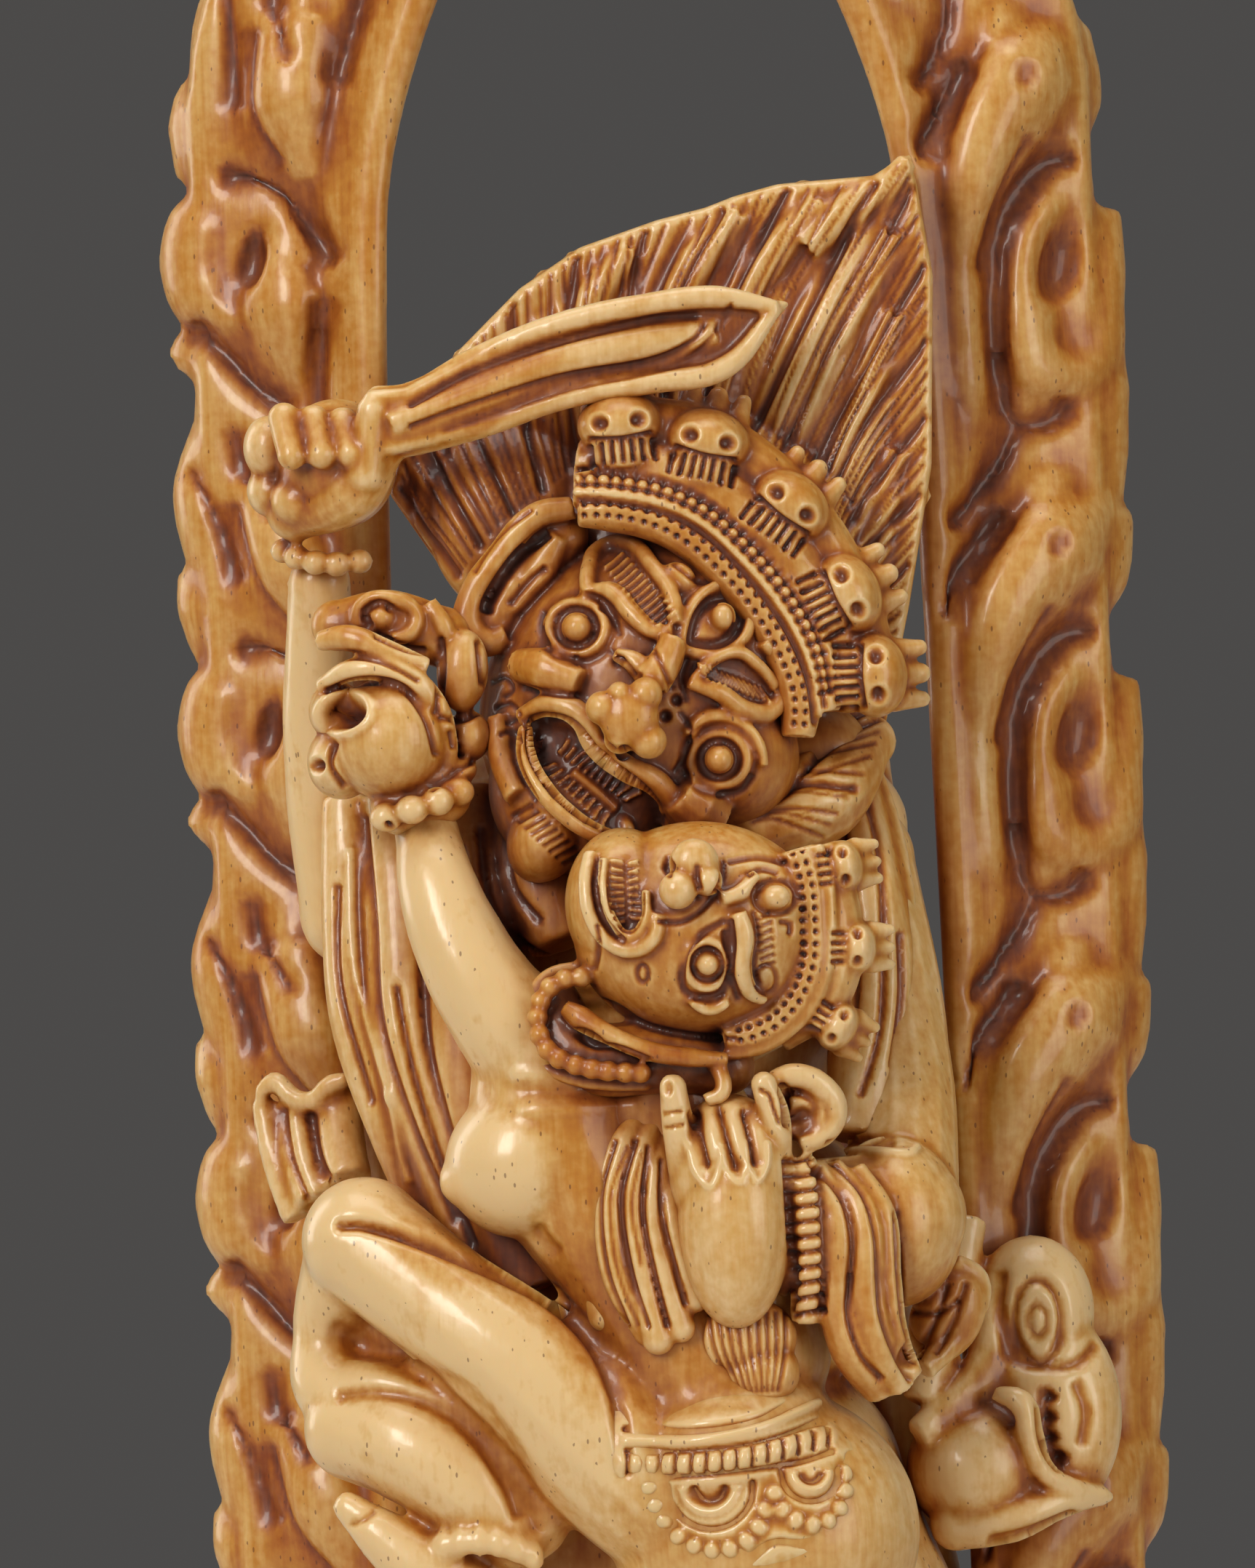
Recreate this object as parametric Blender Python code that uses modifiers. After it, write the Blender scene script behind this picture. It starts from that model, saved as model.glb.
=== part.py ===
"""A wrathful deity embracing a consort before an arch of flames, carved from one bone."""

import math

import bmesh
import bpy
from mathutils import Euler, Matrix, Vector

# Driving dimensions, in metres
CARVING_HEIGHT = 0.162      # from the top of the lotus to the tip of the flames
BASE_HEIGHT = 0.014         # the lotus, from its flat underside to its top
BASE_DEPTH = 0.045          # the lotus from front to back
BASE_MARGIN = 0.0022        # how far the lotus stands out past the arch on each side
BONE_BEND = 0.060           # radius that the wall of the bone bends back by behind the figure
SLAB_THICKNESS = 0.0034     # the arch between its flames
HAIR_THICKNESS = 0.0040     # the fan of hair between its locks
BLADE_THICKNESS = 0.0018    # the sword's blade
PETAL_WIDTH = 0.0078        # one petal of the lotus

# The pose is given in shares of the carving's height, 162 to the whole, and heights count
# from 14 at the top of the lotus.
SHARES = 162.0
LOTUS_LEVEL = 14.0
UNIT = CARVING_HEIGHT / SHARES

# Fineness of the carving
SKIN_VOXEL = 0.45 * UNIT
FACES_WANTED = 9600
SMOOTHING_PASSES = 2
LOTUS_SIDES = 72

# The arch, in shares
ARCH_REACH = 28.6           # from the middle to the outermost flame
ARCH_TIP = LOTUS_LEVEL + SHARES
ARCH_MIDDLE = 21.5          # from the middle of the statue to the middle of each band
ARCH_SPRING = 130.0         # where the bands begin to lean in to the tip
ARCH_LEAN = 1.65            # how sharply they close
SLAB_REACH = 26.0           # the slab under the flames, a little inside their tips
SLAB_SPRING = 136.0
SLAB_TIP = ARCH_TIP - 3.0
SLAB_EDGE = 0.6             # how far the edges of the slab and of the hair are rounded
OPENING_FOOT = 17.2         # half the opening at its foot, and at its spring
OPENING_REACH = 15.8
OPENING_SPRING = 126.0
OPENING_TIP = 161.0
RIM_RADIUS = 1.5
RIM_OVERLAP = 0.5           # how far the rim's middle lies outside the opening
RIM_PLANE = -2.2            # how far in front of the slab it runs
FLAME_PITCH = 27.7          # height of one curl with its tongue
FLAME_FLATNESS = 0.85
FLAME_PLANE = 2.2           # how far behind the middle the bone's wall starts its bend
FLAME_TIP = ARCH_TIP - 8.0  # where the two bands of flames meet
FLAME_CLOSE = 1.12          # how far past that the bands would run before they closed
FIRST_EYE = {1: 13.2, -1: 15.7}     # height of the lowest curl's eye on each side
CURLS_A_SIDE = 6

# The head, in shares: the point between the eyes, and its tilt in degrees
BROW_POINT = (-0.6, 100.4)
HEAD_TILT = 45.0
FACE_FRONT = -13.6          # the plane of the cheeks
BLADE_EDGE = 0.4            # how far the sword's edges are rounded

LOTUS_SQUARENESS = 3.0      # 2 is an ellipse
BONE_COLOUR = (0.70, 0.42, 0.15, 1.0)


def clear_scene():
    for thing in list(bpy.data.objects):
        bpy.data.objects.remove(thing, do_unlink=True)


def new_collection(name):
    collection = bpy.data.collections.new(name)
    bpy.context.scene.collection.children.link(collection)
    return collection


def bone_material():
    material = bpy.data.materials.new("old_bone")
    material.use_nodes = True
    shader = material.node_tree.nodes["Principled BSDF"]
    shader.inputs["Base Color"].default_value = BONE_COLOUR
    shader.inputs["Roughness"].default_value = 0.34
    shader.inputs["Metallic"].default_value = 0.0
    material.diffuse_color = BONE_COLOUR
    return material


def spot(x, y, z):
    """A place of the pose, in metres."""
    return Vector((x * UNIT, y * UNIT, BASE_HEIGHT + (z - LOTUS_LEVEL) * UNIT))


def on_face(across, up, front=0.0):
    """A place on the tilted face: across to the viewer's right, up to the brow, in shares."""
    tilt = math.radians(HEAD_TILT)
    x = BROW_POINT[0] + across * math.cos(tilt) + up * math.sin(tilt)
    z = BROW_POINT[1] - across * math.sin(tilt) + up * math.cos(tilt)
    return (x, FACE_FRONT - front, z)


def along(points, share):
    """The place at a share of the way along a chain of points."""
    place = share * (len(points) - 1)
    first = min(int(place), len(points) - 2)
    part = place - first
    return tuple(a + (b - a) * part for a, b in zip(points[first], points[first + 1]))


class Clay:
    """The lumps and strands that the carving is made of, before they are made one skin."""

    def __init__(self):
        self.lumps = bmesh.new()
        self.egg = self.new_egg()
        self.strands = self.new_curve("strands")
        self.flames = self.new_curve("flames")

    def new_egg(self):
        shell = bmesh.new()
        bmesh.ops.create_uvsphere(shell, u_segments=18, v_segments=11, radius=1.0)
        egg = bpy.data.meshes.new("egg")
        shell.to_mesh(egg)
        shell.free()
        return egg

    def new_curve(self, name):
        curve = bpy.data.curves.new(name, "CURVE")
        curve.dimensions = "3D"
        curve.bevel_depth = UNIT
        curve.bevel_resolution = 2
        curve.resolution_u = 5
        curve.use_fill_caps = True
        return curve

    def ball(self, centre, radii, turn=(0.0, 0.0, 0.0)):
        """An egg shape, turned about X, Y and Z in degrees."""
        turned = Euler([math.radians(angle) for angle in turn])
        size = Vector(radii) * UNIT
        self.place(self.egg, Matrix.LocRotScale(spot(*centre), turned, size))

    def place(self, mesh, matrix):
        """Adds a copy of a mesh to the lumps."""
        copy = mesh.copy()
        copy.transform(matrix)
        self.lumps.from_mesh(copy)
        bpy.data.meshes.remove(copy)

    def strand(self, points, radii, curve=None, closed=False):
        """A round strand through some points, as thick at each as its radius there."""
        spline = (curve or self.strands).splines.new("BEZIER")
        spline.bezier_points.add(len(points) - 1)
        spline.use_cyclic_u = closed
        for knot, place, radius in zip(spline.bezier_points, points, radii):
            knot.co = spot(*place)
            knot.radius = radius
            knot.handle_left_type = "AUTO"
            knot.handle_right_type = "AUTO"

    def limb(self, points, radii):
        """A strand with round ends, for arms and legs."""
        self.strand(points, radii)
        for place, radius in ((points[0], radii[0]), (points[-1], radii[-1])):
            self.ball(place, (radius, radius, radius))

    def ring(self, centre, half_width, half_height, thickness, tilt=0.0):
        """A closed loop facing the front."""
        points = []
        for step in range(8):
            angle = step * math.tau / 8
            across = half_width * math.cos(angle)
            up = half_height * math.sin(angle)
            lean = math.radians(tilt)
            x = centre[0] + across * math.cos(lean) + up * math.sin(lean)
            z = centre[2] - across * math.sin(lean) + up * math.cos(lean)
            points.append((x, centre[1], z))
        self.strand(points, [thickness] * len(points), closed=True)

    def beads(self, points, count, radius):
        """A row of beads along a chain of points."""
        for bead in range(count):
            place = along(points, bead / (count - 1))
            self.ball(place, (radius, radius, radius))

    def folds(self, first_edge, last_edge, count, thickness):
        """Cloth in folds: strands side by side between two edges."""
        for fold in range(count):
            share = fold / (count - 1)
            points = []
            for a, b in zip(first_edge, last_edge):
                points.append(tuple(p + (q - p) * share for p, q in zip(a, b)))
            radii = [thickness] * len(points)
            radii[-1] = thickness * 0.7
            self.strand(points, radii)

    def plate(self, outlines, front, thickness, edge):
        """A flat plate facing the front, from its outlines in X and Z, the second one a hole."""
        curve = bpy.data.curves.new("plate", "CURVE")
        curve.dimensions = "2D"
        curve.fill_mode = "BOTH"
        curve.extrude = thickness / 2 - edge
        curve.bevel_depth = edge
        curve.bevel_resolution = 1
        for outline in outlines:
            spline = curve.splines.new("POLY")
            spline.points.add(len(outline) - 1)
            spline.use_cyclic_u = True
            for knot, (x, z) in zip(spline.points, outline):
                place = spot(x, 0.0, z)
                knot.co = (place.x, place.z, 0.0, 1.0)
        turned = Matrix.Rotation(math.radians(90.0), 4, "X")
        self.take_curve(curve, Matrix.Translation((0.0, front * UNIT, 0.0)) @ turned)

    def take_curve(self, curve, matrix):
        """Makes a curve's tubes or plates part of the lumps."""
        holder = bpy.data.objects.new("holder", curve)
        bpy.context.scene.collection.objects.link(holder)
        graph = bpy.context.evaluated_depsgraph_get()
        mesh = bpy.data.meshes.new_from_object(holder.evaluated_get(graph))
        self.place(mesh, matrix)
        bpy.data.objects.remove(holder)
        bpy.data.meshes.remove(mesh)


def wrap_back(bm, first_vertex):
    """Bends what was added since the first vertex back around the bone's own wall."""
    for vertex in bm.verts[first_vertex:]:
        reach = min(abs(vertex.co.x), BONE_BEND * 0.9)
        vertex.co.y += BONE_BEND - math.sqrt(BONE_BEND ** 2 - reach ** 2)


def half_arch(side, reach_at_foot, reach_at_spring, spring, tip):
    """One side of a pointed arch as X and Z points, from its foot up to just under its tip."""
    points = [(side * reach_at_foot, LOTUS_LEVEL - 4.0), (side * reach_at_foot, 60.0)]
    points.append((side * reach_at_spring, spring))
    steps = 7
    for step in range(1, steps):
        share = step / steps
        width = reach_at_spring * (1.0 - share ** ARCH_LEAN)
        points.append((side * width, spring + (tip - spring) * share))
    return points


def pointed_arch(reach_at_foot, reach_at_spring, spring, tip):
    left = half_arch(-1, reach_at_foot, reach_at_spring, spring, tip)
    right = half_arch(1, reach_at_foot, reach_at_spring, spring, tip)
    return left + [(0.0, tip)] + right[::-1]


def on_band(side, reach, height, front):
    """A place on a band of flames, which leans in along the arch above its spring."""
    if height <= ARCH_SPRING:
        return (side * reach, front, height)
    rise = FLAME_TIP - ARCH_SPRING
    share = min((height - ARCH_SPRING) / (rise * FLAME_CLOSE), 1.0)
    inward = -ARCH_MIDDLE * ARCH_LEAN * share ** (ARCH_LEAN - 1.0)
    length = math.hypot(inward, rise)
    out = reach - ARCH_MIDDLE
    x = ARCH_MIDDLE * (1.0 - share ** ARCH_LEAN) + out * rise / length
    z = ARCH_SPRING + rise * share - out * inward / length
    return (side * x, front, z)


def flame_curl(clay, side, eye):
    """One curl of flame with the tongue above it and the small lick below, on one side."""
    curl = [(26.2, 5.4, -0.6), (23.4, 3.4, -1.6), (22.2, -1.0, -1.8), (23.2, -6.0, -1.2),
            (25.6, -5.8, -0.6), (26.9, -1.0, -0.4), (27.0, 3.6, 0.2)]
    tongue = [(26.6, 15.0, 0.0), (23.4, 12.4, -1.4), (20.4, 8.0, -1.8), (18.9, 0.0, -1.8),
              (18.7, -7.0, -1.4), (18.2, -13.4, -0.8)]
    shoulder = [(25.6, 12.6, -0.2), (24.6, 9.6, 0.0), (22.6, 6.8, 0.2)]
    lick = [(27.2, -3.8, 0.2), (26.6, -7.0, -0.6), (26.8, -11.0, -0.2), (26.0, -15.6, 0.2)]
    shapes = ((curl, [0.6, 1.6, 2.0, 2.3, 2.0, 1.7, 1.0]), (tongue, [0.9, 3.0, 2.7, 1.9, 1.8, 0.6]),
              (shoulder, [2.4, 2.4, 1.0]), (lick, [0.8, 1.7, 1.6, 0.8]))
    for points, radii in shapes:
        places = [on_band(side, reach, eye + above, front) for reach, above, front in points]
        clay.strand(places, radii, clay.flames)


def add_arch(clay):
    """The pointed arch of flames behind the figure, with its smooth inner rim."""
    first_vertex = len(clay.lumps.verts)
    outer = pointed_arch(SLAB_REACH, SLAB_REACH, SLAB_SPRING, SLAB_TIP)
    inner = pointed_arch(OPENING_FOOT, OPENING_REACH, OPENING_SPRING, OPENING_TIP)
    clay.plate([outer, inner], FLAME_PLANE, SLAB_THICKNESS, SLAB_EDGE * UNIT)
    for side, lowest in FIRST_EYE.items():
        for curl in range(CURLS_A_SIDE):
            flame_curl(clay, side, lowest + curl * FLAME_PITCH)
    crest = [(-6.0, 0.0, 161.5), (-3.0, -1.0, 166.0), (0.6, -1.0, 170.5), (0.0, 0.0, ARCH_TIP - 0.6)]
    for side in (-1, 1):
        points = [(side * x, y, z) for x, y, z in crest]
        clay.strand(points, [1.6, 2.6, 2.0, 0.6], clay.flames)
    plane = Matrix.Translation((0.0, FLAME_PLANE * UNIT, 0.0))
    clay.take_curve(clay.flames, plane @ Matrix.Diagonal((1.0, FLAME_FLATNESS, 1.0, 1.0)))
    clay.take_curve(new_rim(), plane)
    clay.lumps.verts.ensure_lookup_table()
    wrap_back(clay.lumps, first_vertex)


def new_rim():
    """The smooth strip along the arch's opening."""
    curve = bpy.data.curves.new("rim", "CURVE")
    curve.dimensions = "3D"
    curve.bevel_depth = RIM_RADIUS * UNIT
    curve.bevel_resolution = 2
    curve.use_fill_caps = True
    foot = OPENING_FOOT + RIM_OVERLAP
    reach = OPENING_REACH + RIM_OVERLAP
    path = pointed_arch(foot, reach, OPENING_SPRING, OPENING_TIP + RIM_OVERLAP)
    spline = curve.splines.new("POLY")
    spline.points.add(len(path) - 1)
    for knot, (x, z) in zip(spline.points, path):
        place = spot(x, RIM_PLANE, z)
        knot.co = (place.x, place.y, place.z, 1.0)
    return curve


def lotus_edge(angle, share):
    """A point of the lotus's rounded outline, seen from above."""
    half_width = (ARCH_REACH * UNIT + BASE_MARGIN) * share
    half_depth = BASE_DEPTH / 2 * share
    power = 2.0 / LOTUS_SQUARENESS
    x = math.copysign(abs(math.cos(angle)) ** power, math.cos(angle)) * half_width
    y = math.copysign(abs(math.sin(angle)) ** power, math.sin(angle)) * half_depth
    return x, y


def lotus_walk(share, step_length):
    """Evenly spaced points round the lotus's outline, each with the direction that faces out."""
    fine = 720
    ring = [lotus_edge(step * math.tau / fine, share) for step in range(fine + 1)]
    lengths = [math.dist(a, b) for a, b in zip(ring, ring[1:])]
    count = round(sum(lengths) / step_length)
    wanted = sum(lengths) / count
    walked = 0.0
    stops = []
    for (a, b), length in zip(zip(ring, ring[1:]), lengths):
        if walked + length > wanted * (len(stops) + 0.5) and len(stops) < count:
            outward = math.atan2(a[0] - b[0], b[1] - a[1])
            stops.append((a[0], a[1], outward))
        walked += length
    return stops


def add_lotus(clay):
    """The lotus that it all stands on, a little below the floor until it is cut flat."""
    for low, high, share in ((-0.2, 0.16, 1.0), (0.16, 0.8, 0.86), (0.8, 1.04, 0.95)):
        layer = bmesh.new()
        bmesh.ops.create_cone(layer, cap_ends=True, segments=LOTUS_SIDES, radius1=1.0, radius2=1.0,
                              depth=(high - low) * BASE_HEIGHT)
        for vertex in layer.verts:
            vertex.co.x, vertex.co.y = lotus_edge(math.atan2(vertex.co.y, vertex.co.x), share)
            vertex.co.z += (low + high) / 2 * BASE_HEIGHT
        mesh = bpy.data.meshes.new("layer")
        layer.to_mesh(mesh)
        layer.free()
        clay.place(mesh, Matrix.Identity(4))
        bpy.data.meshes.remove(mesh)
    for height, lean in ((0.66, 14.0), (0.30, -14.0)):
        for x, y, outward in lotus_walk(0.92, PETAL_WIDTH):
            turned = Matrix.Rotation(outward, 4, "Z") @ Matrix.Rotation(math.radians(lean), 4, "Y")
            size = Matrix.Diagonal((BASE_HEIGHT * 0.13, PETAL_WIDTH * 0.5, BASE_HEIGHT * 0.27, 1.0))
            clay.place(clay.egg, Matrix.Translation((x, y, height * BASE_HEIGHT)) @ turned @ size)


def add_deity_body(clay):
    """The deity's trunk, bent right leg and straight left leg, and the arms."""
    clay.ball((-1.0, 1.0, 85.0), (12.5, 7.5, 14.0))
    clay.ball((0.0, -1.0, 67.0), (12.0, 9.0, 11.0))
    clay.ball((1.0, -0.5, 54.0), (11.5, 8.5, 8.5))
    clay.limb([(-12.0, 1.0, 93.0), (0.0, 1.5, 95.5), (10.0, 0.5, 92.0)], [4.6, 5.0, 4.2])
    clay.limb([(-5.0, -1.0, 51.0), (-13.0, -3.0, 45.0), (-18.5, -5.0, 39.0)], [7.6, 6.6, 5.4])
    clay.limb([(-18.5, -5.0, 39.0), (-18.0, -2.0, 29.0), (-17.5, -1.5, 18.5)], [5.2, 4.8, 3.2])
    clay.limb([(-17.5, -2.0, 16.5), (-20.0, -9.0, 15.5)], [3.2, 2.4])
    clay.limb([(6.0, -0.5, 51.0), (12.5, -1.0, 38.0), (16.0, -1.0, 27.0), (17.5, -1.0, 18.0)],
              [7.4, 6.0, 4.8, 3.2])
    clay.limb([(17.5, -1.5, 16.5), (20.5, -8.0, 15.5)], [3.2, 2.4])
    clay.limb([(-12.5, 1.0, 93.0), (-18.5, 1.0, 88.5)], [4.4, 3.2])
    clay.limb([(-18.6, 0.5, 88.0), (-19.9, -1.0, 97.0), (-19.4, -3.5, 107.5)], [3.0, 2.5, 2.0])
    clay.limb([(10.5, -1.0, 90.0), (13.0, -5.0, 79.0), (12.8, -9.5, 69.5)], [4.0, 3.0, 3.4])
    clay.ball((13.0, -10.0, 70.5), (3.6, 4.2, 4.6))
    clay.limb([(13.0, -11.0, 69.5), (7.0, -14.5, 69.0)], [3.6, 3.0])


def add_deity_hands(clay):
    """The right fist round the sword, and the left hand raised before the consort's waist."""
    clay.ball((-18.3, -6.0, 114.3), (3.6, 4.0, 3.9))
    clay.limb([(-20.6, -5.0, 111.6), (-17.0, -7.5, 112.8), (-15.6, -8.0, 115.0)], [1.9, 2.0, 1.5])
    for finger in range(3):
        x = -21.2 + finger * 1.9
        clay.limb([(x, -9.4, 117.4), (x - 0.3, -10.4, 114.6)], [1.0, 0.9])
    clay.limb([(-16.9, -9.6, 113.6), (-16.2, -10.0, 117.6)], [1.2, 1.0])
    clay.beads([(-21.4, -5.2, 109.4), (-19.4, -7.0, 108.8), (-17.2, -7.4, 108.6)], 4, 0.85)
    clay.limb([(-24.0, -5.5, 112.8), (-15.0, -8.5, 116.6)], [1.1, 1.3])
    clay.ball((3.0, -18.2, 69.6), (3.5, 2.8, 5.8))
    clay.limb([(0.2, -19.0, 72.0), (-0.3, -19.6, 78.0)], [1.5, 0.9])
    clay.limb([(5.6, -18.6, 72.0), (5.4, -19.2, 78.2)], [1.4, 0.8])
    for finger in range(3):
        x = 1.7 + finger * 1.15
        clay.limb([(x, -19.8, 76.2), (x + 0.1, -21.0, 73.2)], [0.75, 0.7])
    clay.ring((7.5, -17.6, 76.2), 1.5, 1.4, 0.75)
    clay.beads([(7.2, -17.2, 73.8), (7.4, -18.4, 69.0), (7.0, -17.0, 64.2)], 8, 0.72)


def add_sword(clay):
    """The leaf-shaped blade laid across the hair, with a raised line along each edge."""
    upper = [(-16.0, -9.2, 118.0), (-10.0, -10.0, 120.8), (-4.0, -10.8, 122.6), (3.0, -11.2, 123.0),
             (7.4, -11.2, 122.4)]
    lower = [(-16.0, -9.2, 115.0), (-10.0, -10.0, 116.6), (-3.0, -10.8, 117.8), (3.4, -11.2, 118.6),
             (7.4, -11.2, 122.4)]
    outline = [(x, z) for x, _, z in upper] + [(x, z) for x, _, z in lower[-2::-1]]
    clay.plate([outline], -9.8, BLADE_THICKNESS, BLADE_EDGE * UNIT)
    clay.strand(upper, [0.8, 0.8, 0.8, 0.8, 0.5])
    clay.strand(lower, [0.8, 0.8, 0.8, 0.9, 0.5])
    middle = [along([a, b], 0.5) for a, b in zip(upper[:-1], lower[:-1])]
    clay.strand(middle, [0.9, 1.0, 1.0, 0.6])


def add_hair(clay):
    """Hair that flames up behind the crown and runs into the arch's rim on the right."""
    roots = [(-10.5, 109.5), (-7.0, 113.0), (-1.0, 116.0), (4.5, 115.0), (9.5, 110.0), (11.5, 103.0),
             (8.0, 95.0)]
    tips = [(-13.0, 115.2), (-9.6, 121.6), (-3.0, 127.2), (5.0, 129.0), (14.6, 130.2), (15.0, 119.0),
            (13.8, 104.0)]
    clay.plate([roots + tips[::-1]], -1.8, HAIR_THICKNESS, SLAB_EDGE * UNIT)
    clay.ball((2.0, -3.6, 106.0), (11.0, 4.6, 11.0))
    clay.ball((-8.0, -4.6, 107.4), (4.6, 3.6, 6.4))
    locks = 19
    for lock in range(locks):
        share = lock / (locks - 1)
        root = along(roots, share)
        tip = along(tips, share)
        for front, bulge in ((-4.4, -1.6), (0.2, 1.2)):
            middle = ((root[0] + tip[0]) / 2 - 0.5, front + bulge, (root[1] + tip[1]) / 2 + 0.3)
            clay.strand([(root[0], front, root[1]), middle, (tip[0], front - bulge, tip[1])],
                        [1.25, 1.1, 0.55])


def add_deity_face(clay):
    """The wrathful face with three round eyes and open mouth, tilted over the consort's."""
    clay.ball(on_face(0.0, -0.5, -7.0), (9.0, 7.6, 10.6), (0.0, HEAD_TILT, 0.0))
    clay.ball(on_face(0.8, -6.6, -4.0), (6.6, 5.2, 5.6), (0.0, HEAD_TILT, 0.0))
    clay.ball(on_face(-5.4, -3.0, -1.2), (2.9, 2.4, 2.4), (0.0, HEAD_TILT, 0.0))
    clay.ball(on_face(6.2, -4.0, -1.6), (2.9, 2.4, 2.6), (0.0, HEAD_TILT, 0.0))
    clay.ball(on_face(1.6, -10.8, -1.6), (3.0, 2.6, 1.9), (0.0, HEAD_TILT, 0.0))
    clay.strand([on_face(0.0, 3.4, 0.0), on_face(0.2, 0.6, 1.4), on_face(0.4, -2.0, 3.2)], [0.9, 1.2, 1.6])
    for side in (-1, 1):
        clay.ball(on_face(side * 5.5, 0.0, 0.0), (1.5, 1.5, 1.5))
        clay.ring(on_face(side * 5.5, 0.0, 0.1), 2.3, 2.1, 0.5, HEAD_TILT)
        clay.ball(on_face(0.4 + side * 2.0, -2.6, 2.2), (1.5, 1.6, 1.3))
        clay.strand([on_face(side * 1.2, 3.4, 0.9), on_face(side * 4.0, 4.6, 0.9),
                     on_face(side * 7.0, 3.8, -0.6)], [0.9, 1.5, 0.9])
    clay.ball(on_face(0.4, -2.4, 3.2), (2.0, 1.8, 1.7))
    clay.ball(on_face(0.0, 6.0, -0.3), (1.3, 1.3, 1.2))
    clay.ring(on_face(0.6, -6.2, 0.9), 4.7, 2.3, 0.75, HEAD_TILT)
    clay.ball(on_face(0.8, -7.0, 0.2), (2.6, 1.6, 1.3), (0.0, HEAD_TILT, 0.0))
    clay.ring(on_face(-10.0, 0.6, -4.0), 2.2, 4.6, 1.0, HEAD_TILT - 5.0)
    clay.ball(on_face(-9.6, -6.0, -3.0), (1.6, 2.0, 2.6))


def add_deity_crown(clay):
    """Two bands over the brow, and five small skulls standing on them."""
    for radius, thickness, front in ((9.2, 0.9, -1.2), (11.0, 1.0, -1.8)):
        arc = []
        for step in range(7):
            angle = math.radians(-62.0 + step * 20.7)
            arc.append(on_face(radius * math.sin(angle), radius * math.cos(angle), front))
        clay.strand(arc, [thickness] * len(arc))
    for skull in range(5):
        angle = math.radians(-56.0 + skull * 28.0)
        radius = 14.6
        clay.ball(on_face(radius * math.sin(angle), radius * math.cos(angle), -1.4), (2.3, 2.0, 2.2))
        low = radius - 2.4
        clay.ball(on_face(low * math.sin(angle), low * math.cos(angle), -1.6), (1.7, 1.6, 1.6))
        high = radius + 1.2
        start = on_face(high * math.sin(angle), high * math.cos(angle), -2.6)
        end = on_face((high + 2.6) * math.sin(angle + 0.08), (high + 2.6) * math.cos(angle + 0.08), -3.4)
        clay.strand([start, end], [1.4, 0.4])


def add_skull_cup(clay):
    """The skull that the consort lifts, with carved curls on top."""
    clay.ball((-15.6, -11.0, 98.6), (3.8, 3.8, 3.7))
    clay.ball((-17.6, -10.0, 96.4), (2.2, 2.4, 2.0))
    clay.ball((-19.6, -9.0, 101.0), (1.5, 1.8, 1.6))
    clay.limb([(-19.4, -10.6, 104.0), (-15.0, -12.6, 103.2), (-11.6, -11.6, 102.4)], [1.2, 1.0, 1.3])
    clay.limb([(-18.8, -9.6, 106.2), (-15.2, -11.0, 106.0), (-12.4, -10.0, 104.8)], [1.2, 1.5, 1.2])
    clay.limb([(-12.2, -10.6, 103.2), (-11.4, -10.8, 99.8)], [1.3, 1.1])
    clay.beads([(-16.4, -13.0, 94.4), (-14.6, -13.6, 94.6), (-13.0, -13.0, 94.4)], 3, 0.85)


def add_consort_body(clay):
    """The consort, back turned, one leg wrapped round the deity and one straight down."""
    clay.limb([(-13.6, -12.6, 93.4), (-12.8, -13.4, 88.6), (-10.4, -14.0, 84.0), (-7.0, -13.5, 80.0)],
              [2.0, 2.6, 3.3, 4.4])
    clay.limb([(-6.4, -12.0, 79.0), (-4.0, -12.5, 72.0), (-0.4, -12.5, 63.5), (2.2, -12.0, 58.0)],
              [5.6, 5.8, 5.2, 6.6])
    clay.ball((-9.0, -13.5, 73.4), (4.6, 4.2, 4.4))
    clay.ball((2.2, -12.0, 52.5), (9.8, 7.6, 8.0))
    clay.limb([(1.0, -13.0, 54.0), (-6.0, -14.5, 59.5), (-13.0, -13.5, 65.4), (-18.8, -10.5, 69.0)],
              [6.0, 4.8, 4.0, 3.7])
    clay.limb([(-19.4, -9.5, 68.0), (-20.2, -9.0, 62.5), (-16.0, -12.0, 60.0), (-10.6, -12.5, 55.0)],
              [3.3, 2.6, 3.4, 2.9])
    clay.beads([(-14.4, -14.6, 53.6), (-11.8, -15.4, 53.0), (-9.2, -15.0, 52.4)], 5, 0.8)
    clay.limb([(-20.2, -11.0, 54.0), (-15.0, -12.0, 49.6), (-9.0, -10.0, 47.0)], [1.3, 1.9, 2.4])
    clay.limb([(4.0, -12.0, 50.0), (7.6, -11.5, 38.0), (9.2, -11.0, 27.0), (9.8, -11.0, 17.5)],
              [6.8, 5.0, 4.2, 2.8])
    clay.limb([(9.8, -11.5, 16.4), (10.6, -16.5, 15.4)], [2.6, 2.0])
    clay.limb([(-4.0, -13.0, 80.0), (0.0, -12.0, 82.5)], [4.0, 4.0])
    clay.limb([(0.0, -10.0, 80.5), (7.5, -8.0, 84.0), (12.0, -4.0, 88.0)], [4.0, 3.2, 3.0])


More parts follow.
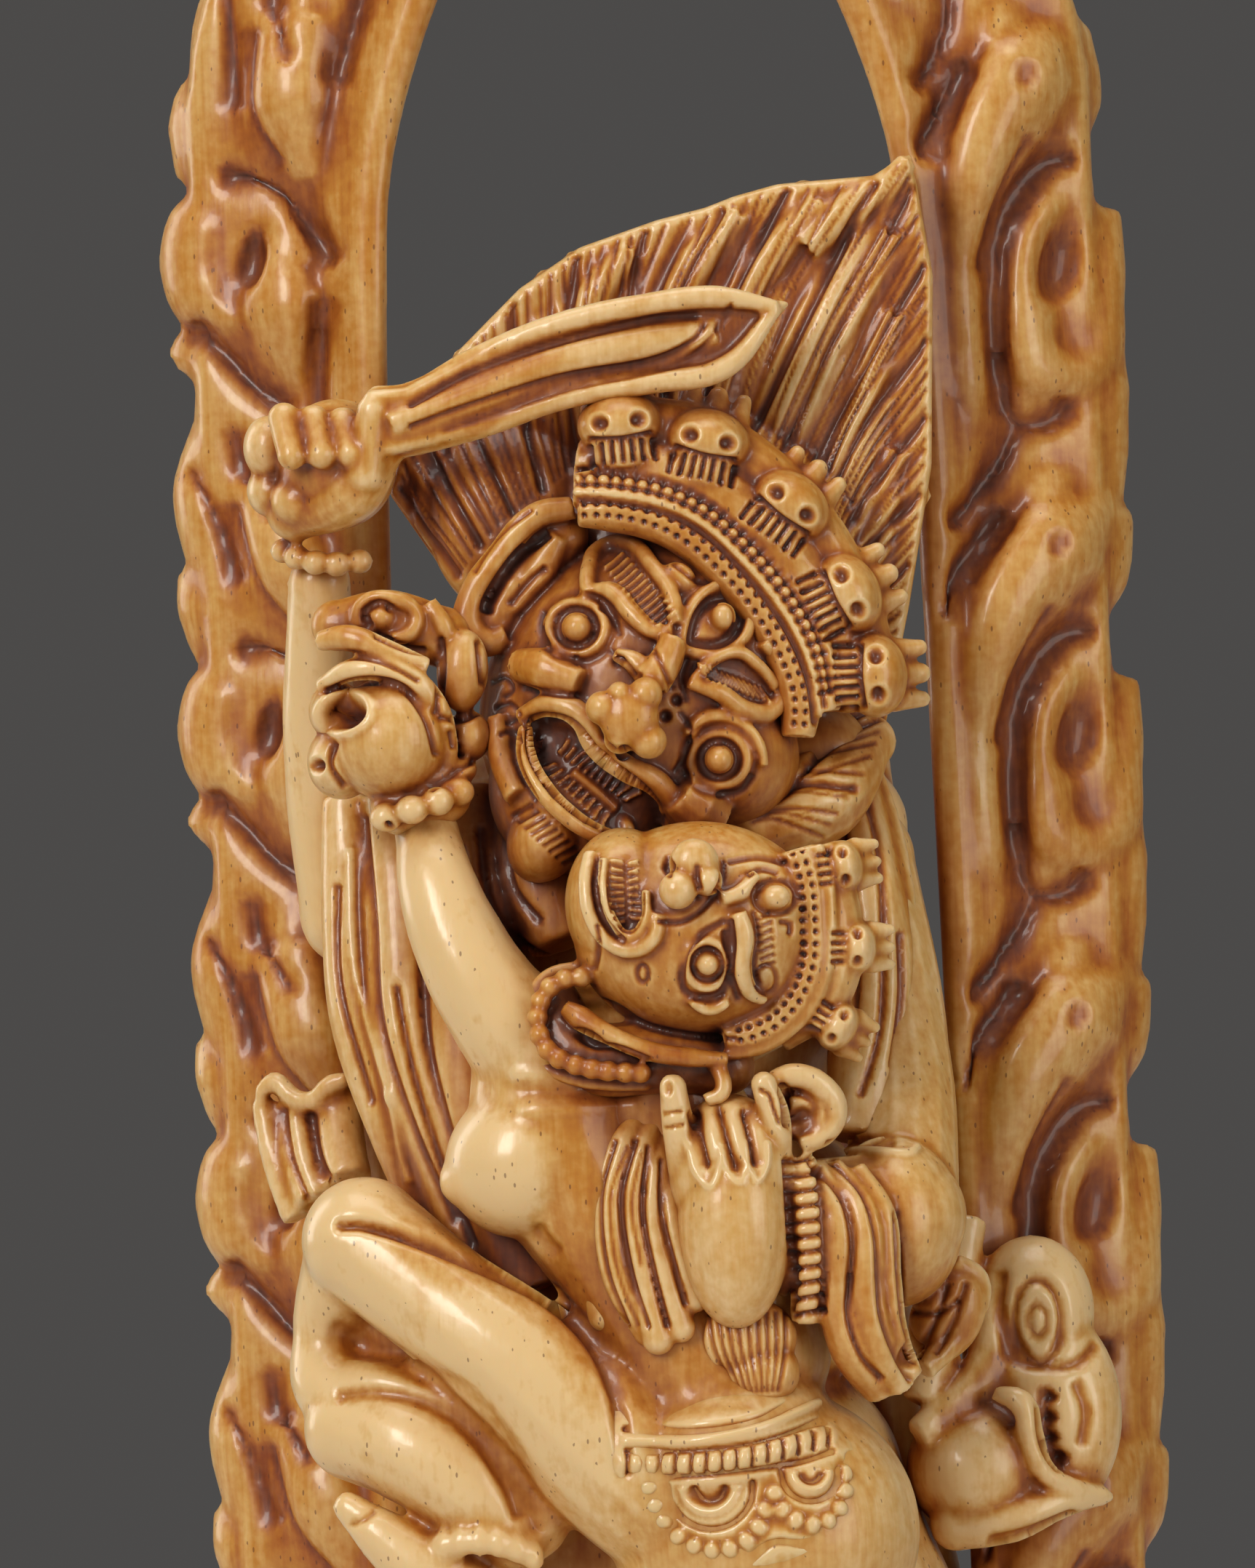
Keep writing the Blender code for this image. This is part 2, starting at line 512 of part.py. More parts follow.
def add_consort_head(clay):
    """The consort's head, thrown back to the right, with its own small crown."""
    clay.ball((1.8, -16.0, 85.8), (7.0, 6.2, 5.9))
    clay.ball((-3.0, -16.6, 87.6), (2.8, 3.8, 3.6))
    clay.ball((1.2, -21.0, 89.6), (1.6, 2.0, 1.9))
    clay.ring((-2.7, -20.2, 89.3), 1.2, 2.0, 0.5)
    clay.ring((2.2, -21.2, 84.8), 1.9, 2.0, 0.45)
    clay.ball((2.2, -21.4, 84.8), (0.9, 0.9, 0.9))
    clay.strand([(5.2, -20.6, 88.6), (4.9, -20.8, 86.0), (4.0, -20.4, 83.4)], [0.6, 0.8, 0.6])
    band = [(7.2, -17.0, 91.2), (8.6, -18.0, 86.6), (7.2, -18.0, 82.0), (3.8, -17.8, 79.6)]
    clay.strand(band, [1.1] * 4)
    for x, z in ((10.4, 89.4), (10.6, 84.8), (9.2, 80.8)):
        clay.ball((x, -16.4, z), (1.9, 1.8, 1.8))
        clay.strand([(x + 1.0, -15.6, z), (x + 2.6, -15.0, z + 0.2)], [1.2, 0.4])
    clay.beads([(-7.0, -17.4, 84.0), (-7.4, -18.0, 81.6), (-4.4, -18.6, 79.6), (-0.6, -18.6, 79.0)],
               9, 0.7)


def add_cloth(clay):
    """Scarves and skirts: folds behind each arm, between the legs and at the waist."""
    clay.folds([(-19.0, -2.0, 95.0), (-19.4, -3.5, 84.0), (-17.0, -5.0, 74.0), (-13.4, -7.0, 66.0)],
               [(-11.5, -4.0, 95.0), (-11.8, -6.0, 84.0), (-11.4, -7.5, 74.0), (-10.2, -8.5, 66.0)],
               6, 1.25)
    clay.folds([(8.6, -3.0, 95.0), (11.4, -5.5, 86.0), (10.6, -7.5, 78.0), (9.4, -9.0, 72.0)],
               [(12.6, -1.0, 95.0), (14.0, -3.0, 86.0), (13.6, -4.5, 79.0), (12.6, -6.0, 74.0)],
               4, 1.1)
    clay.folds([(-23.0, 1.0, 78.6), (-23.0, -1.0, 74.0), (-21.6, -3.0, 68.0)],
               [(-18.6, -3.0, 79.0), (-19.0, -4.0, 74.0), (-19.0, -5.0, 69.0)], 4, 0.9)
    clay.folds([(-3.4, -17.0, 75.0), (-3.6, -18.0, 70.0), (-2.6, -17.6, 63.6)],
               [(-0.6, -17.4, 75.0), (-0.8, -18.6, 70.0), (-0.8, -18.0, 63.6)], 3, 0.8)
    clay.folds([(8.4, -16.6, 73.6), (10.0, -17.0, 68.0), (12.2, -14.6, 60.6)],
               [(11.2, -15.4, 71.8), (12.2, -15.6, 67.0), (13.0, -13.6, 61.4)], 3, 0.8)
    clay.folds([(1.2, -17.0, 64.6), (2.6, -18.2, 61.0), (3.4, -18.8, 59.2)],
               [(5.8, -16.4, 64.8), (6.0, -17.6, 61.2), (6.4, -18.2, 59.6)], 5, 0.6)
    clay.folds([(-13.0, -3.0, 46.0), (-12.0, -7.0, 32.0), (-10.5, -8.0, 13.0)],
               [(4.0, -8.0, 46.0), (5.0, -9.0, 32.0), (6.0, -9.0, 13.0)], 9, 1.7)
    clay.folds([(-11.0, 2.0, 99.0), (-14.5, 5.0, 86.0), (-16.5, 6.0, 62.0), (-16.5, 6.0, 40.0),
                (-16.0, 6.0, 13.0)],
               [(11.0, 2.0, 99.0), (12.0, 5.0, 86.0), (11.6, 6.0, 60.0), (15.0, 6.0, 40.0),
                (16.0, 6.0, 13.0)], 13, 2.1)
    clay.ball((9.0, -5.6, 95.0), (4.2, 3.6, 4.4))
    clay.strand([(16.4, 0.0, 67.0), (15.2, -1.0, 62.0), (13.2, -3.0, 57.0)], [1.6, 1.4, 1.6])


def add_belt(clay):
    """The consort's hip belt with its beads and hanging loops."""
    clay.strand([(-3.4, -18.4, 58.0), (2.0, -19.8, 57.8), (8.0, -19.0, 59.2)], [0.9, 1.0, 0.9])
    clay.beads([(-3.4, -18.8, 55.9), (2.2, -20.2, 56.0), (8.0, -19.0, 57.6)], 12, 0.62)
    clay.ring((1.2, -19.8, 53.8), 4.0, 3.4, 0.7)
    clay.ring((7.4, -18.4, 54.8), 2.8, 2.6, 0.6)
    clay.ball((1.2, -19.6, 54.6), (2.0, 1.2, 1.6))
    clay.ball((7.2, -18.2, 55.4), (1.4, 1.0, 1.2))


def add_guardian(clay):
    """The beast's head in the flames at the right, beside the hips."""
    clay.ball((19.6, -0.6, 57.6), (4.8, 3.4, 6.4), (0.0, 12.0, 0.0))
    clay.ring((21.0, -3.6, 57.0), 1.6, 1.8, 0.6)
    clay.strand([(17.0, -2.4, 63.0), (20.6, -3.4, 63.6), (23.4, -1.0, 61.0)], [0.7, 0.8, 0.6])
    clay.strand([(18.0, -2.6, 60.4), (18.0, -3.0, 55.0), (20.4, -2.6, 52.4)], [0.6, 0.8, 0.6])


def carve():
    clay = Clay()
    add_arch(clay)
    add_lotus(clay)
    add_deity_body(clay)
    add_deity_hands(clay)
    add_sword(clay)
    add_hair(clay)
    add_deity_face(clay)
    add_deity_crown(clay)
    add_skull_cup(clay)
    add_consort_body(clay)
    add_consort_head(clay)
    add_cloth(clay)
    add_belt(clay)
    add_guardian(clay)
    clay.take_curve(clay.strands, Matrix.Identity(4))
    return clay.lumps


def one_skin(lumps, collection):
    """Makes all the lumps one closed skin with a few thousand faces."""
    mesh = bpy.data.meshes.new("lumps")
    lumps.to_mesh(mesh)
    lumps.free()
    block = bpy.data.objects.new("block", mesh)
    collection.objects.link(block)
    remesh = block.modifiers.new("skin", "REMESH")
    remesh.mode = "VOXEL"
    remesh.voxel_size = SKIN_VOXEL
    smooth = block.modifiers.new("soften", "SMOOTH")
    smooth.factor = 0.5
    smooth.iterations = round(SMOOTHING_PASSES)
    graph = bpy.context.evaluated_depsgraph_get()
    skin_faces = 2 * len(block.evaluated_get(graph).data.polygons)
    thin = block.modifiers.new("thin", "DECIMATE")
    thin.ratio = FACES_WANTED / skin_faces
    thin.use_collapse_triangulate = True
    graph = bpy.context.evaluated_depsgraph_get()
    skin = bpy.data.meshes.new_from_object(block.evaluated_get(graph))
    bpy.data.objects.remove(block)
    return skin


def cut_flat(mesh):
    """Cuts the underside flat at the floor."""
    bm = bmesh.new()
    bm.from_mesh(mesh)
    everything = list(bm.verts) + list(bm.edges) + list(bm.faces)
    cut = bmesh.ops.bisect_plane(bm, geom=everything, dist=1e-7, plane_co=(0.0, 0.0, 0.0),
                                 plane_no=(0.0, 0.0, 1.0), clear_inner=True)
    rim = [item for item in cut["geom_cut"] if isinstance(item, bmesh.types.BMEdge)]
    bmesh.ops.contextual_create(bm, geom=rim)
    bmesh.ops.recalc_face_normals(bm, faces=bm.faces)
    bm.to_mesh(mesh)
    bm.free()


clear_scene()
collection = new_collection("bone_mahakala_statue")
skin = one_skin(carve(), collection)
cut_flat(skin)
skin.name = "mahakala_statue"
statue = bpy.data.objects.new("mahakala_statue", skin)
collection.objects.link(statue)
skin.materials.append(bone_material())
skin.shade_smooth()
skin.set_sharp_from_angle(angle=math.radians(50.0))
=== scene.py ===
import math

import bpy
import numpy as np
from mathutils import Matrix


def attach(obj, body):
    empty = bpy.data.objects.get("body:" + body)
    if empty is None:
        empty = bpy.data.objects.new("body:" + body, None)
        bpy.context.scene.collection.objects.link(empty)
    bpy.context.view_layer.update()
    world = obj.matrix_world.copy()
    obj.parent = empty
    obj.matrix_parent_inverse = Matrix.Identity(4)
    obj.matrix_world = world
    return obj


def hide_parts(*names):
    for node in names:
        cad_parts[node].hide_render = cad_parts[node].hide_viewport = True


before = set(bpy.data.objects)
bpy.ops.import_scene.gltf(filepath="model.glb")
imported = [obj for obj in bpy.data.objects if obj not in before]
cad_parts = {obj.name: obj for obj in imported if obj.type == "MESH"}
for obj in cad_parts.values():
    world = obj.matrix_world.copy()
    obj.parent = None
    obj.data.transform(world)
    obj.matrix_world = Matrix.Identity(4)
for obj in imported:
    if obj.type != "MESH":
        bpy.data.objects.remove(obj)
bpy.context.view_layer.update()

# The arch of flames: two bands of bone left standing on each side of the figure, which lean
# together to a tip over its head. Each is cut into curls and tongues in front, is left plain
# behind, and bends back as the wall of the bone does. One piece with all the rest.
MM = 0.001
BONE_BEND = 60.0
ARCH_TIP = 176.0
ARCH_MIDDLE = 21.5
ARCH_SPRING = 130.0
ARCH_LEAN = 1.65
FLAME_PLANE = 2.2
FLAME_PITCH = 27.7
ARCH_FOOT = 6.0
FACES_KEPT = 0.6
FRONT_FACING = 0.12
DARKEST_STAIN_AND_SHADE = 0.38
# How many neighbours away a hollow is felt, its depth in millimetres, and how dark hollows
# and how pale ridges of that size get
WEAR = ((4, 0.05, 0.10, 0.12), (14, 0.12, 0.16, 0.14), (48, 0.3, 0.20, 0.03))


def smooth_path(points, step=0.25):
    """Places close together on a smooth line through some points."""
    knots = [np.array(point, float) for point in points]
    knots = [2 * knots[0] - knots[1]] + knots + [2 * knots[-1] - knots[-2]]
    path = []
    for before, start, end, after in zip(knots, knots[1:], knots[2:], knots[3:]):
        count = max(2, int(np.linalg.norm(end - start) / step))
        for t in np.arange(count) / count:
            path.append(0.5 * (2 * start + (end - before) * t
                               + (2 * before - 5 * start + 4 * end - after) * t ** 2
                               + (3 * start - before - 3 * end + after) * t ** 3))
    path.append(knots[-2])
    return np.array(path)


class Clay:
    """Lumps, strands and sheets, in millimetres, before they are kneaded into one skin."""

    def __init__(self):
        bpy.ops.object.select_all(action="DESELECT")
        bpy.ops.mesh.primitive_uv_sphere_add(segments=56, ring_count=28, radius=MM)
        self.egg = bpy.context.active_object
        curve = bpy.data.curves.new("strands", "CURVE")
        curve.dimensions = "3D"
        curve.bevel_depth = MM
        curve.bevel_resolution = 5
        curve.resolution_u = 10
        curve.use_fill_caps = True
        self.strands = bpy.data.objects.new("strands", curve)
        bpy.context.scene.collection.objects.link(self.strands)
        self.parts = [self.strands]

    def lump(self, place, size, turn=(0.0, 0.0, 0.0)):
        """An egg, turned about X, Y and Z in degrees."""
        egg = self.egg.copy()
        egg.data = self.egg.data.copy()
        egg.location = [value * MM for value in place]
        egg.rotation_euler = [math.radians(angle) for angle in turn]
        egg.scale = size
        bpy.context.scene.collection.objects.link(egg)
        self.parts.append(egg)

    def strand(self, points, widths, closed=False):
        """A round strand through some points, as thick as its width at each."""
        spline = self.strands.data.splines.new("BEZIER")
        spline.bezier_points.add(len(points) - 1)
        spline.use_cyclic_u = closed
        for knot, place, width in zip(spline.bezier_points, points, widths):
            knot.co = [value * MM for value in place]
            knot.radius = width
            knot.handle_left_type = knot.handle_right_type = "AUTO"

    def limb(self, points, widths):
        """A strand with rounded ends."""
        self.strand(points, widths)
        self.lump(points[0], [widths[0]] * 3)
        self.lump(points[-1], [widths[-1]] * 3)

    def beads(self, points, count, size):
        """Beads in a row along a smooth line."""
        path = smooth_path(points, 0.1)
        for bead in range(count):
            place = path[round(bead * (len(path) - 1) / (count - 1))]
            self.lump(place, size)

    def sheet(self, outlines, front, thickness, edge):
        """A flat sheet facing the front, from outlines in X and Z, the second one a hole."""
        curve = bpy.data.curves.new("sheet", "CURVE")
        curve.dimensions = "2D"
        curve.fill_mode = "BOTH"
        curve.extrude = (thickness / 2 - edge) * MM
        curve.bevel_depth = edge * MM
        curve.bevel_resolution = 1
        for outline in outlines:
            spline = curve.splines.new("POLY")
            spline.points.add(len(outline) - 1)
            spline.use_cyclic_u = True
            for knot, (x, z) in zip(spline.points, outline):
                knot.co = (x * MM, z * MM, 0.0, 1.0)
        sheet = bpy.data.objects.new("sheet", curve)
        sheet.rotation_euler = (math.radians(90.0), 0.0, 0.0)
        sheet.location = (0.0, front * MM, 0.0)
        bpy.context.scene.collection.objects.link(sheet)
        self.parts.append(sheet)

    def knead(self, name, grain, passes=4):
        """Makes it all one closed skin of fine faces."""
        bpy.data.objects.remove(self.egg)
        bpy.ops.object.select_all(action="DESELECT")
        for part in self.parts:
            part.select_set(True)
        bpy.context.view_layer.objects.active = self.strands
        bpy.ops.object.convert(target="MESH")
        bpy.ops.object.join()
        piece = bpy.context.active_object
        piece.name = piece.data.name = name
        skin = piece.modifiers.new("skin", "REMESH")
        skin.mode = "VOXEL"
        skin.voxel_size = grain * MM
        skin.use_smooth_shade = True
        bpy.ops.object.modifier_apply(modifier="skin")
        soft = piece.modifiers.new("soft", "SMOOTH")
        soft.factor = 0.5
        soft.iterations = passes
        bpy.ops.object.modifier_apply(modifier="soft")
        return piece


class Graver:
    """Cuts lines and hollows into the front of a skin, and stains them as it goes; some of its lines and
    patches are painted shade instead of stain.
    """

    def __init__(self, piece, force=1.0):
        self.mesh = piece.data
        count = len(self.mesh.vertices)
        self.place = np.empty(count * 3)
        self.mesh.vertices.foreach_get("co", self.place)
        self.place = self.place.reshape(-1, 3) / MM
        self.outward = np.empty(count * 3)
        self.mesh.vertices.foreach_get("normal", self.outward)
        self.outward = self.outward.reshape(-1, 3)
        self.force = force
        self.shift = np.zeros(count)
        self.stain_and_shade = np.zeros(count)

    def reach(self, low, high):
        """The places on the front between two corners."""
        flat = self.place[:, (0, 2)]
        near = (flat > low).all(1) & (flat < high).all(1) & (self.outward[:, 1] < -FRONT_FACING)
        return np.flatnonzero(near), flat

    def line(self, points, depth, width, stain_and_shade=0.4, fade=0.8):
        """Cuts a line, or raises one where the depth is below zero, fading at its ends."""
        path = smooth_path(points)
        near, flat = self.reach(path.min(0) - 2.5 * width, path.max(0) + 2.5 * width)
        if len(near) == 0:
            return
        spots = flat[near]
        best = np.full(len(near), 1e9)
        share = np.zeros(len(near))
        for step, (start, end) in enumerate(zip(path, path[1:])):
            run = end - start
            t = np.clip((spots - start) @ run / max(run @ run, 1e-9), 0.0, 1.0)
            away = np.linalg.norm(spots - start - t[:, None] * run, axis=1)
            closer = away < best
            best[closer] = away[closer]
            share[closer] = (step + t[closer]) / (len(path) - 1)
        length = np.linalg.norm(np.diff(path, axis=0), axis=1).sum()
        ends = np.clip(np.minimum(share, 1.0 - share) * length / max(fade * width, 1e-6), 0.0, 1.0)
        mark = np.exp(-(best / width) ** 2) * (0.15 + 0.85 * ends if fade else 1.0)
        self.shift[near] -= depth * self.force * mark
        self.stain_and_shade[near] += stain_and_shade * mark

    def hollow(self, centre, size, depth, stain_and_shade=0.4, turn=0.0, rim=0.0):
        """Presses in a rounded hollow with a raised rim, or swells it out below zero."""
        centre = np.array(centre, float)
        span = max(size) * 2.2
        near, flat = self.reach(centre - span, centre + span)
        off = flat[near] - centre
        lean = math.radians(turn)
        across = (off[:, 0] * math.cos(lean) - off[:, 1] * math.sin(lean)) / size[0]
        up = (off[:, 0] * math.sin(lean) + off[:, 1] * math.cos(lean)) / size[1]
        away = np.hypot(across, up)
        mark = 1.0 / (1.0 + np.exp((away - 0.9) * 7.0))
        self.shift[near] += (rim * np.exp(-((away - 1.35) / 0.32) ** 2) - depth * mark) * self.force
        self.stain_and_shade[near] += stain_and_shade * mark

    def ticks(self, start, end, count, length, lean, depth, width, stain_and_shade=0.5):
        """A row of short cuts between two places, each leaning by an angle from upright."""
        for tick in range(count):
            share = tick / max(count - 1, 1)
            x = start[0] + (end[0] - start[0]) * share
            z = start[1] + (end[1] - start[1]) * share
            across = math.sin(math.radians(lean)) * length / 2
            up = math.cos(math.radians(lean)) * length / 2
            self.line([(x - across, z - up), (x + across, z + up)], depth, width, stain_and_shade, fade=0.5)

    def wash(self, centre, size, amount, turn=0.0):
        """Darkens a patch, softly at its edge: a stain in some places, painted shade in others."""
        self.hollow(centre, size, 0.0, amount, turn)

    def finish(self, tone=0.0, hollows=1.0):
        """Moves the skin, and stains its hollows and rubs its ridges pale, as handling does."""
        self.place += self.outward * self.shift[:, None]
        self.mesh.vertices.foreach_set("co", (self.place * MM).ravel())
        self.mesh.update()
        count = len(self.place)
        ends = np.empty(len(self.mesh.edges) * 2, np.int64)
        self.mesh.edges.foreach_get("vertices", ends)
        first, second = ends.reshape(-1, 2).T
        both = np.concatenate((first, second))
        other = np.concatenate((second, first))
        share = 1.0 / np.maximum(np.bincount(both, minlength=count), 1)
        outward = np.empty(count * 3)
        self.mesh.vertices.foreach_get("normal", outward)
        outward = outward.reshape(-1, 3)
        soft = self.place.copy()
        cut = np.zeros(count)
        for turn in range(1, WEAR[-1][0] + 1):
            soft = np.stack([np.bincount(both, soft[other, axis], count) for axis in range(3)], 1)
            soft *= share[:, None]
            for reach, scale, dark, pale in WEAR:
                if turn == reach:
                    depth = ((soft - self.place) * outward).sum(1) / scale
                    cut += np.clip(depth, 0.0, 1.2) * dark + np.clip(depth, -1.0, 0.0) * pale
        stain_and_shade = self.stain_and_shade + hollows * cut
        limited = DARKEST_STAIN_AND_SHADE * (1.0 - np.exp(-stain_and_shade / DARKEST_STAIN_AND_SHADE))
        stain_and_shade = tone + np.where(stain_and_shade > 0.0, limited, stain_and_shade)
        kept = self.mesh.attributes.new("stain_and_shade", "FLOAT", "POINT")
        kept.data.foreach_set("value", stain_and_shade)
        self.mesh.polygons.foreach_set("use_smooth", np.ones(len(self.mesh.polygons), bool))
        self.mesh.update()


def bone_finish(name, ramp):
    """Old polished bone: stained in its hollows, streaked along its grain, with a few pores, and with
    painted shade where other surfaces lie close.
    """
    finish = bpy.data.materials.new(name)
    finish.use_nodes = True
    nodes = finish.node_tree.nodes
    links = finish.node_tree.links
    shader = nodes["Principled BSDF"]

    def add(kind, **settings):
        node = nodes.new(kind)
        for key, value in settings.items():
            setattr(node, key, value)
        return node

    def maths(kind, first, second):
        node = add("ShaderNodeMath", operation=kind)
        for socket, value in zip(node.inputs, (first, second)):
            if isinstance(value, (int, float)):
                socket.default_value = value
            else:
                links.new(value, socket)
        return node.outputs[0]

    place = add("ShaderNodeTexCoord").outputs["Object"]

    def noise(scale, stretch, detail):
        mapping = add("ShaderNodeMapping")
        mapping.inputs["Scale"].default_value = (scale, scale, scale * stretch)
        links.new(place, mapping.inputs["Vector"])
        node = add("ShaderNodeTexNoise")
        node.inputs["Scale"].default_value = 1.0
        node.inputs["Detail"].default_value = detail
        links.new(mapping.outputs["Vector"], node.inputs["Vector"])
        return node.outputs["Fac"]

    stain_and_shade = add("ShaderNodeAttribute", attribute_name="stain_and_shade").outputs["Fac"]
    # Painted shade: ambient occlusion over a few millimetres darkens the base colour in creases, recesses
    # and where parts lie close together, and also roughens the surface there.
    shade_occlusion = add("ShaderNodeAmbientOcclusion", samples=2)
    shade_occlusion.inputs["Distance"].default_value = 0.0042
    hidden = maths("SUBTRACT", 1.0, shade_occlusion.outputs["AO"])
    cloud = noise(170.0, 0.6, 3.0)
    fibre = noise(2300.0, 0.07, 2.0)
    speck = noise(1500.0, 1.0, 2.0)
    total = maths("ADD", stain_and_shade, maths("MULTIPLY", hidden, 0.50))
    total = maths("ADD", total, maths("MULTIPLY", maths("SUBTRACT", cloud, 0.5), 0.40))
    total = maths("ADD", total, maths("MULTIPLY", maths("SUBTRACT", fibre, 0.5), 0.24))
    total = maths("ADD", total, maths("MULTIPLY", maths("SUBTRACT", speck, 0.5), 0.22))
    colours = add("ShaderNodeValToRGB")
    points = colours.color_ramp.elements
    while len(points) < len(ramp):
        points.new(0.5)
    for point, (at, colour) in zip(points, ramp):
        point.position = at
        point.color = (*colour, 1.0)
    links.new(total, colours.inputs["Fac"])

    mapping = add("ShaderNodeMapping")
    mapping.inputs["Scale"].default_value = (1900.0, 1900.0, 800.0)
    links.new(place, mapping.inputs["Vector"])
    pits = add("ShaderNodeTexVoronoi")
    pits.inputs["Scale"].default_value = 1.0
    links.new(mapping.outputs["Vector"], pits.inputs["Vector"])
    sparse = maths("GREATER_THAN", noise(420.0, 1.0, 1.0), 0.50)
    pore = maths("MULTIPLY", maths("LESS_THAN", pits.outputs["Distance"], 0.13), sparse)
    pore = maths("MULTIPLY", pore, 0.6)
    darker = add("ShaderNodeMix", data_type="RGBA")
    links.new(pore, darker.inputs["Factor"])
    links.new(colours.outputs["Color"], darker.inputs[6])
    darker.inputs[7].default_value = (*ramp[-2][1], 1.0)
    links.new(darker.outputs[2], shader.inputs["Base Color"])

    bump = add("ShaderNodeBump")
    bump.inputs["Strength"].default_value = 0.35
    bump.inputs["Distance"].default_value = 0.00006
    relief = maths("SUBTRACT", maths("ADD", fibre, maths("MULTIPLY", speck, 0.7)), pore)
    links.new(relief, bump.inputs["Height"])
    links.new(bump.outputs["Normal"], shader.inputs["Normal"])
    rough = maths("ADD", 0.26, maths("MULTIPLY", cloud, 0.12))
    rough = maths("ADD", rough, maths("MULTIPLY", maths("ADD", hidden, stain_and_shade), 0.24))
    links.new(rough, shader.inputs["Roughness"])
    shader.inputs["Subsurface Weight"].default_value = 0.22
    shader.inputs["Subsurface Radius"].default_value = (1.0, 0.42, 0.16)
    shader.inputs["Subsurface Scale"].default_value = 0.0012
    shader.inputs["Coat Weight"].default_value = 0.3
    shader.inputs["Coat Roughness"].default_value = 0.12
    return finish


def place_piece(piece, finish):
    """Thins out a finished piece's faces where it is plain, and fixes it to the frame."""
    thin = piece.modifiers.new("thin", "DECIMATE")
    thin.ratio = FACES_KEPT
    bpy.context.view_layer.objects.active = piece
    bpy.ops.object.modifier_apply(modifier="thin")
    piece.data.polygons.foreach_set("use_smooth", np.ones(len(piece.data.polygons), bool))
    piece.data.materials.clear()
    piece.data.materials.append(finish)
    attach(piece, "root")
    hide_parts("mahakala_statue")


CREAM = (0.80, 0.56, 0.27)
STRAW = (0.68, 0.395, 0.120)
HONEY = (0.55, 0.230, 0.028)
AMBER = (0.42, 0.118, 0.006)
RUST = (0.26, 0.050, 0.002)
UMBER = (0.110, 0.016, 0.001)
PITCH = (0.030, 0.006, 0.002)
worn_bone = bone_finish("worn_bone",
                        [(0.0, CREAM), (0.15, STRAW), (0.30, HONEY), (0.46, AMBER), (0.62, RUST),
                         (0.80, UMBER), (1.0, PITCH)])


def half_arch(side, at_foot, at_spring, spring, tip):
    """One side of a pointed arch in X and Z, from its foot to just under its tip."""
    points = [(side * at_foot, 10.0), (side * at_foot, 60.0), (side * at_spring, spring)]
    for step in range(1, 10):
        share = step / 10
        points.append((side * at_spring * (1.0 - share ** ARCH_LEAN), spring + (tip - spring) * share))
    return points


def pointed_arch(*sizes):
    return half_arch(-1, *sizes) + [(0.0, sizes[-1])] + half_arch(1, *sizes)[::-1]


def on_band(side, reach, height, front):
    """A place on a band of flames, which leans in along the arch above its spring."""
    front += FLAME_PLANE
    if height <= ARCH_SPRING:
        return (side * reach, front, height)
    rise = ARCH_TIP - 8.0 - ARCH_SPRING
    share = min((height - ARCH_SPRING) / (rise * 1.12), 1.0)
    inward = -ARCH_MIDDLE * ARCH_LEAN * share ** (ARCH_LEAN - 1.0)
    length = math.hypot(inward, rise)
    out = reach - ARCH_MIDDLE
    x = ARCH_MIDDLE * (1.0 - share ** ARCH_LEAN) + out * rise / length
    return (side * x, front, ARCH_SPRING + rise * share - out * inward / length)


def right_flame(clay, eye):
    """A comma curl with the long tongue that licks down beside it, on the right band."""
    shapes = (([(26.4, 5.6, -0.4), (23.8, 3.6, -1.5), (22.6, -1.0, -1.7), (23.2, -5.4, -1.3),
                (25.4, -5.6, -0.8), (27.0, -1.0, -0.4), (27.4, 4.0, 0.2)],
               [0.7, 1.5, 1.8, 2.2, 2.0, 1.4, 1.0]),
              ([(26.8, 15.0, -0.2), (23.8, 12.0, -1.4), (20.8, 8.0, -1.9), (18.8, 1.0, -1.7),
                (18.8, -6.0, -1.5), (18.0, -13.8, -0.6)], [1.2, 3.2, 2.9, 1.8, 1.9, 0.5]),
              ([(27.2, 14.0, 0.0), (26.2, 10.0, 0.4), (24.6, 7.2, 0.6)], [1.3, 1.8, 1.2]),
              ([(24.6, 8.2, -0.9), (22.0, 5.4, -1.2), (21.0, -1.0, -1.2), (21.3, -6.8, -1.0),
                (23.6, -9.0, -0.8)], [1.4, 1.6, 1.6, 1.5, 1.3]),
              ([(27.6, -4.0, 0.4), (27.0, -6.6, -0.3), (26.9, -10.6, -0.2), (26.2, -15.6, 0.2)],
               [0.7, 1.5, 1.3, 1.2]),
              ([(24.0, -10.4, -0.6), (23.4, -13.0, -0.8), (22.6, -17.0, -0.4)], [1.5, 2.4, 2.2]))
    for points, widths in shapes:
        clay.strand([on_band(1, reach, eye + above, front) for reach, above, front in points], widths)


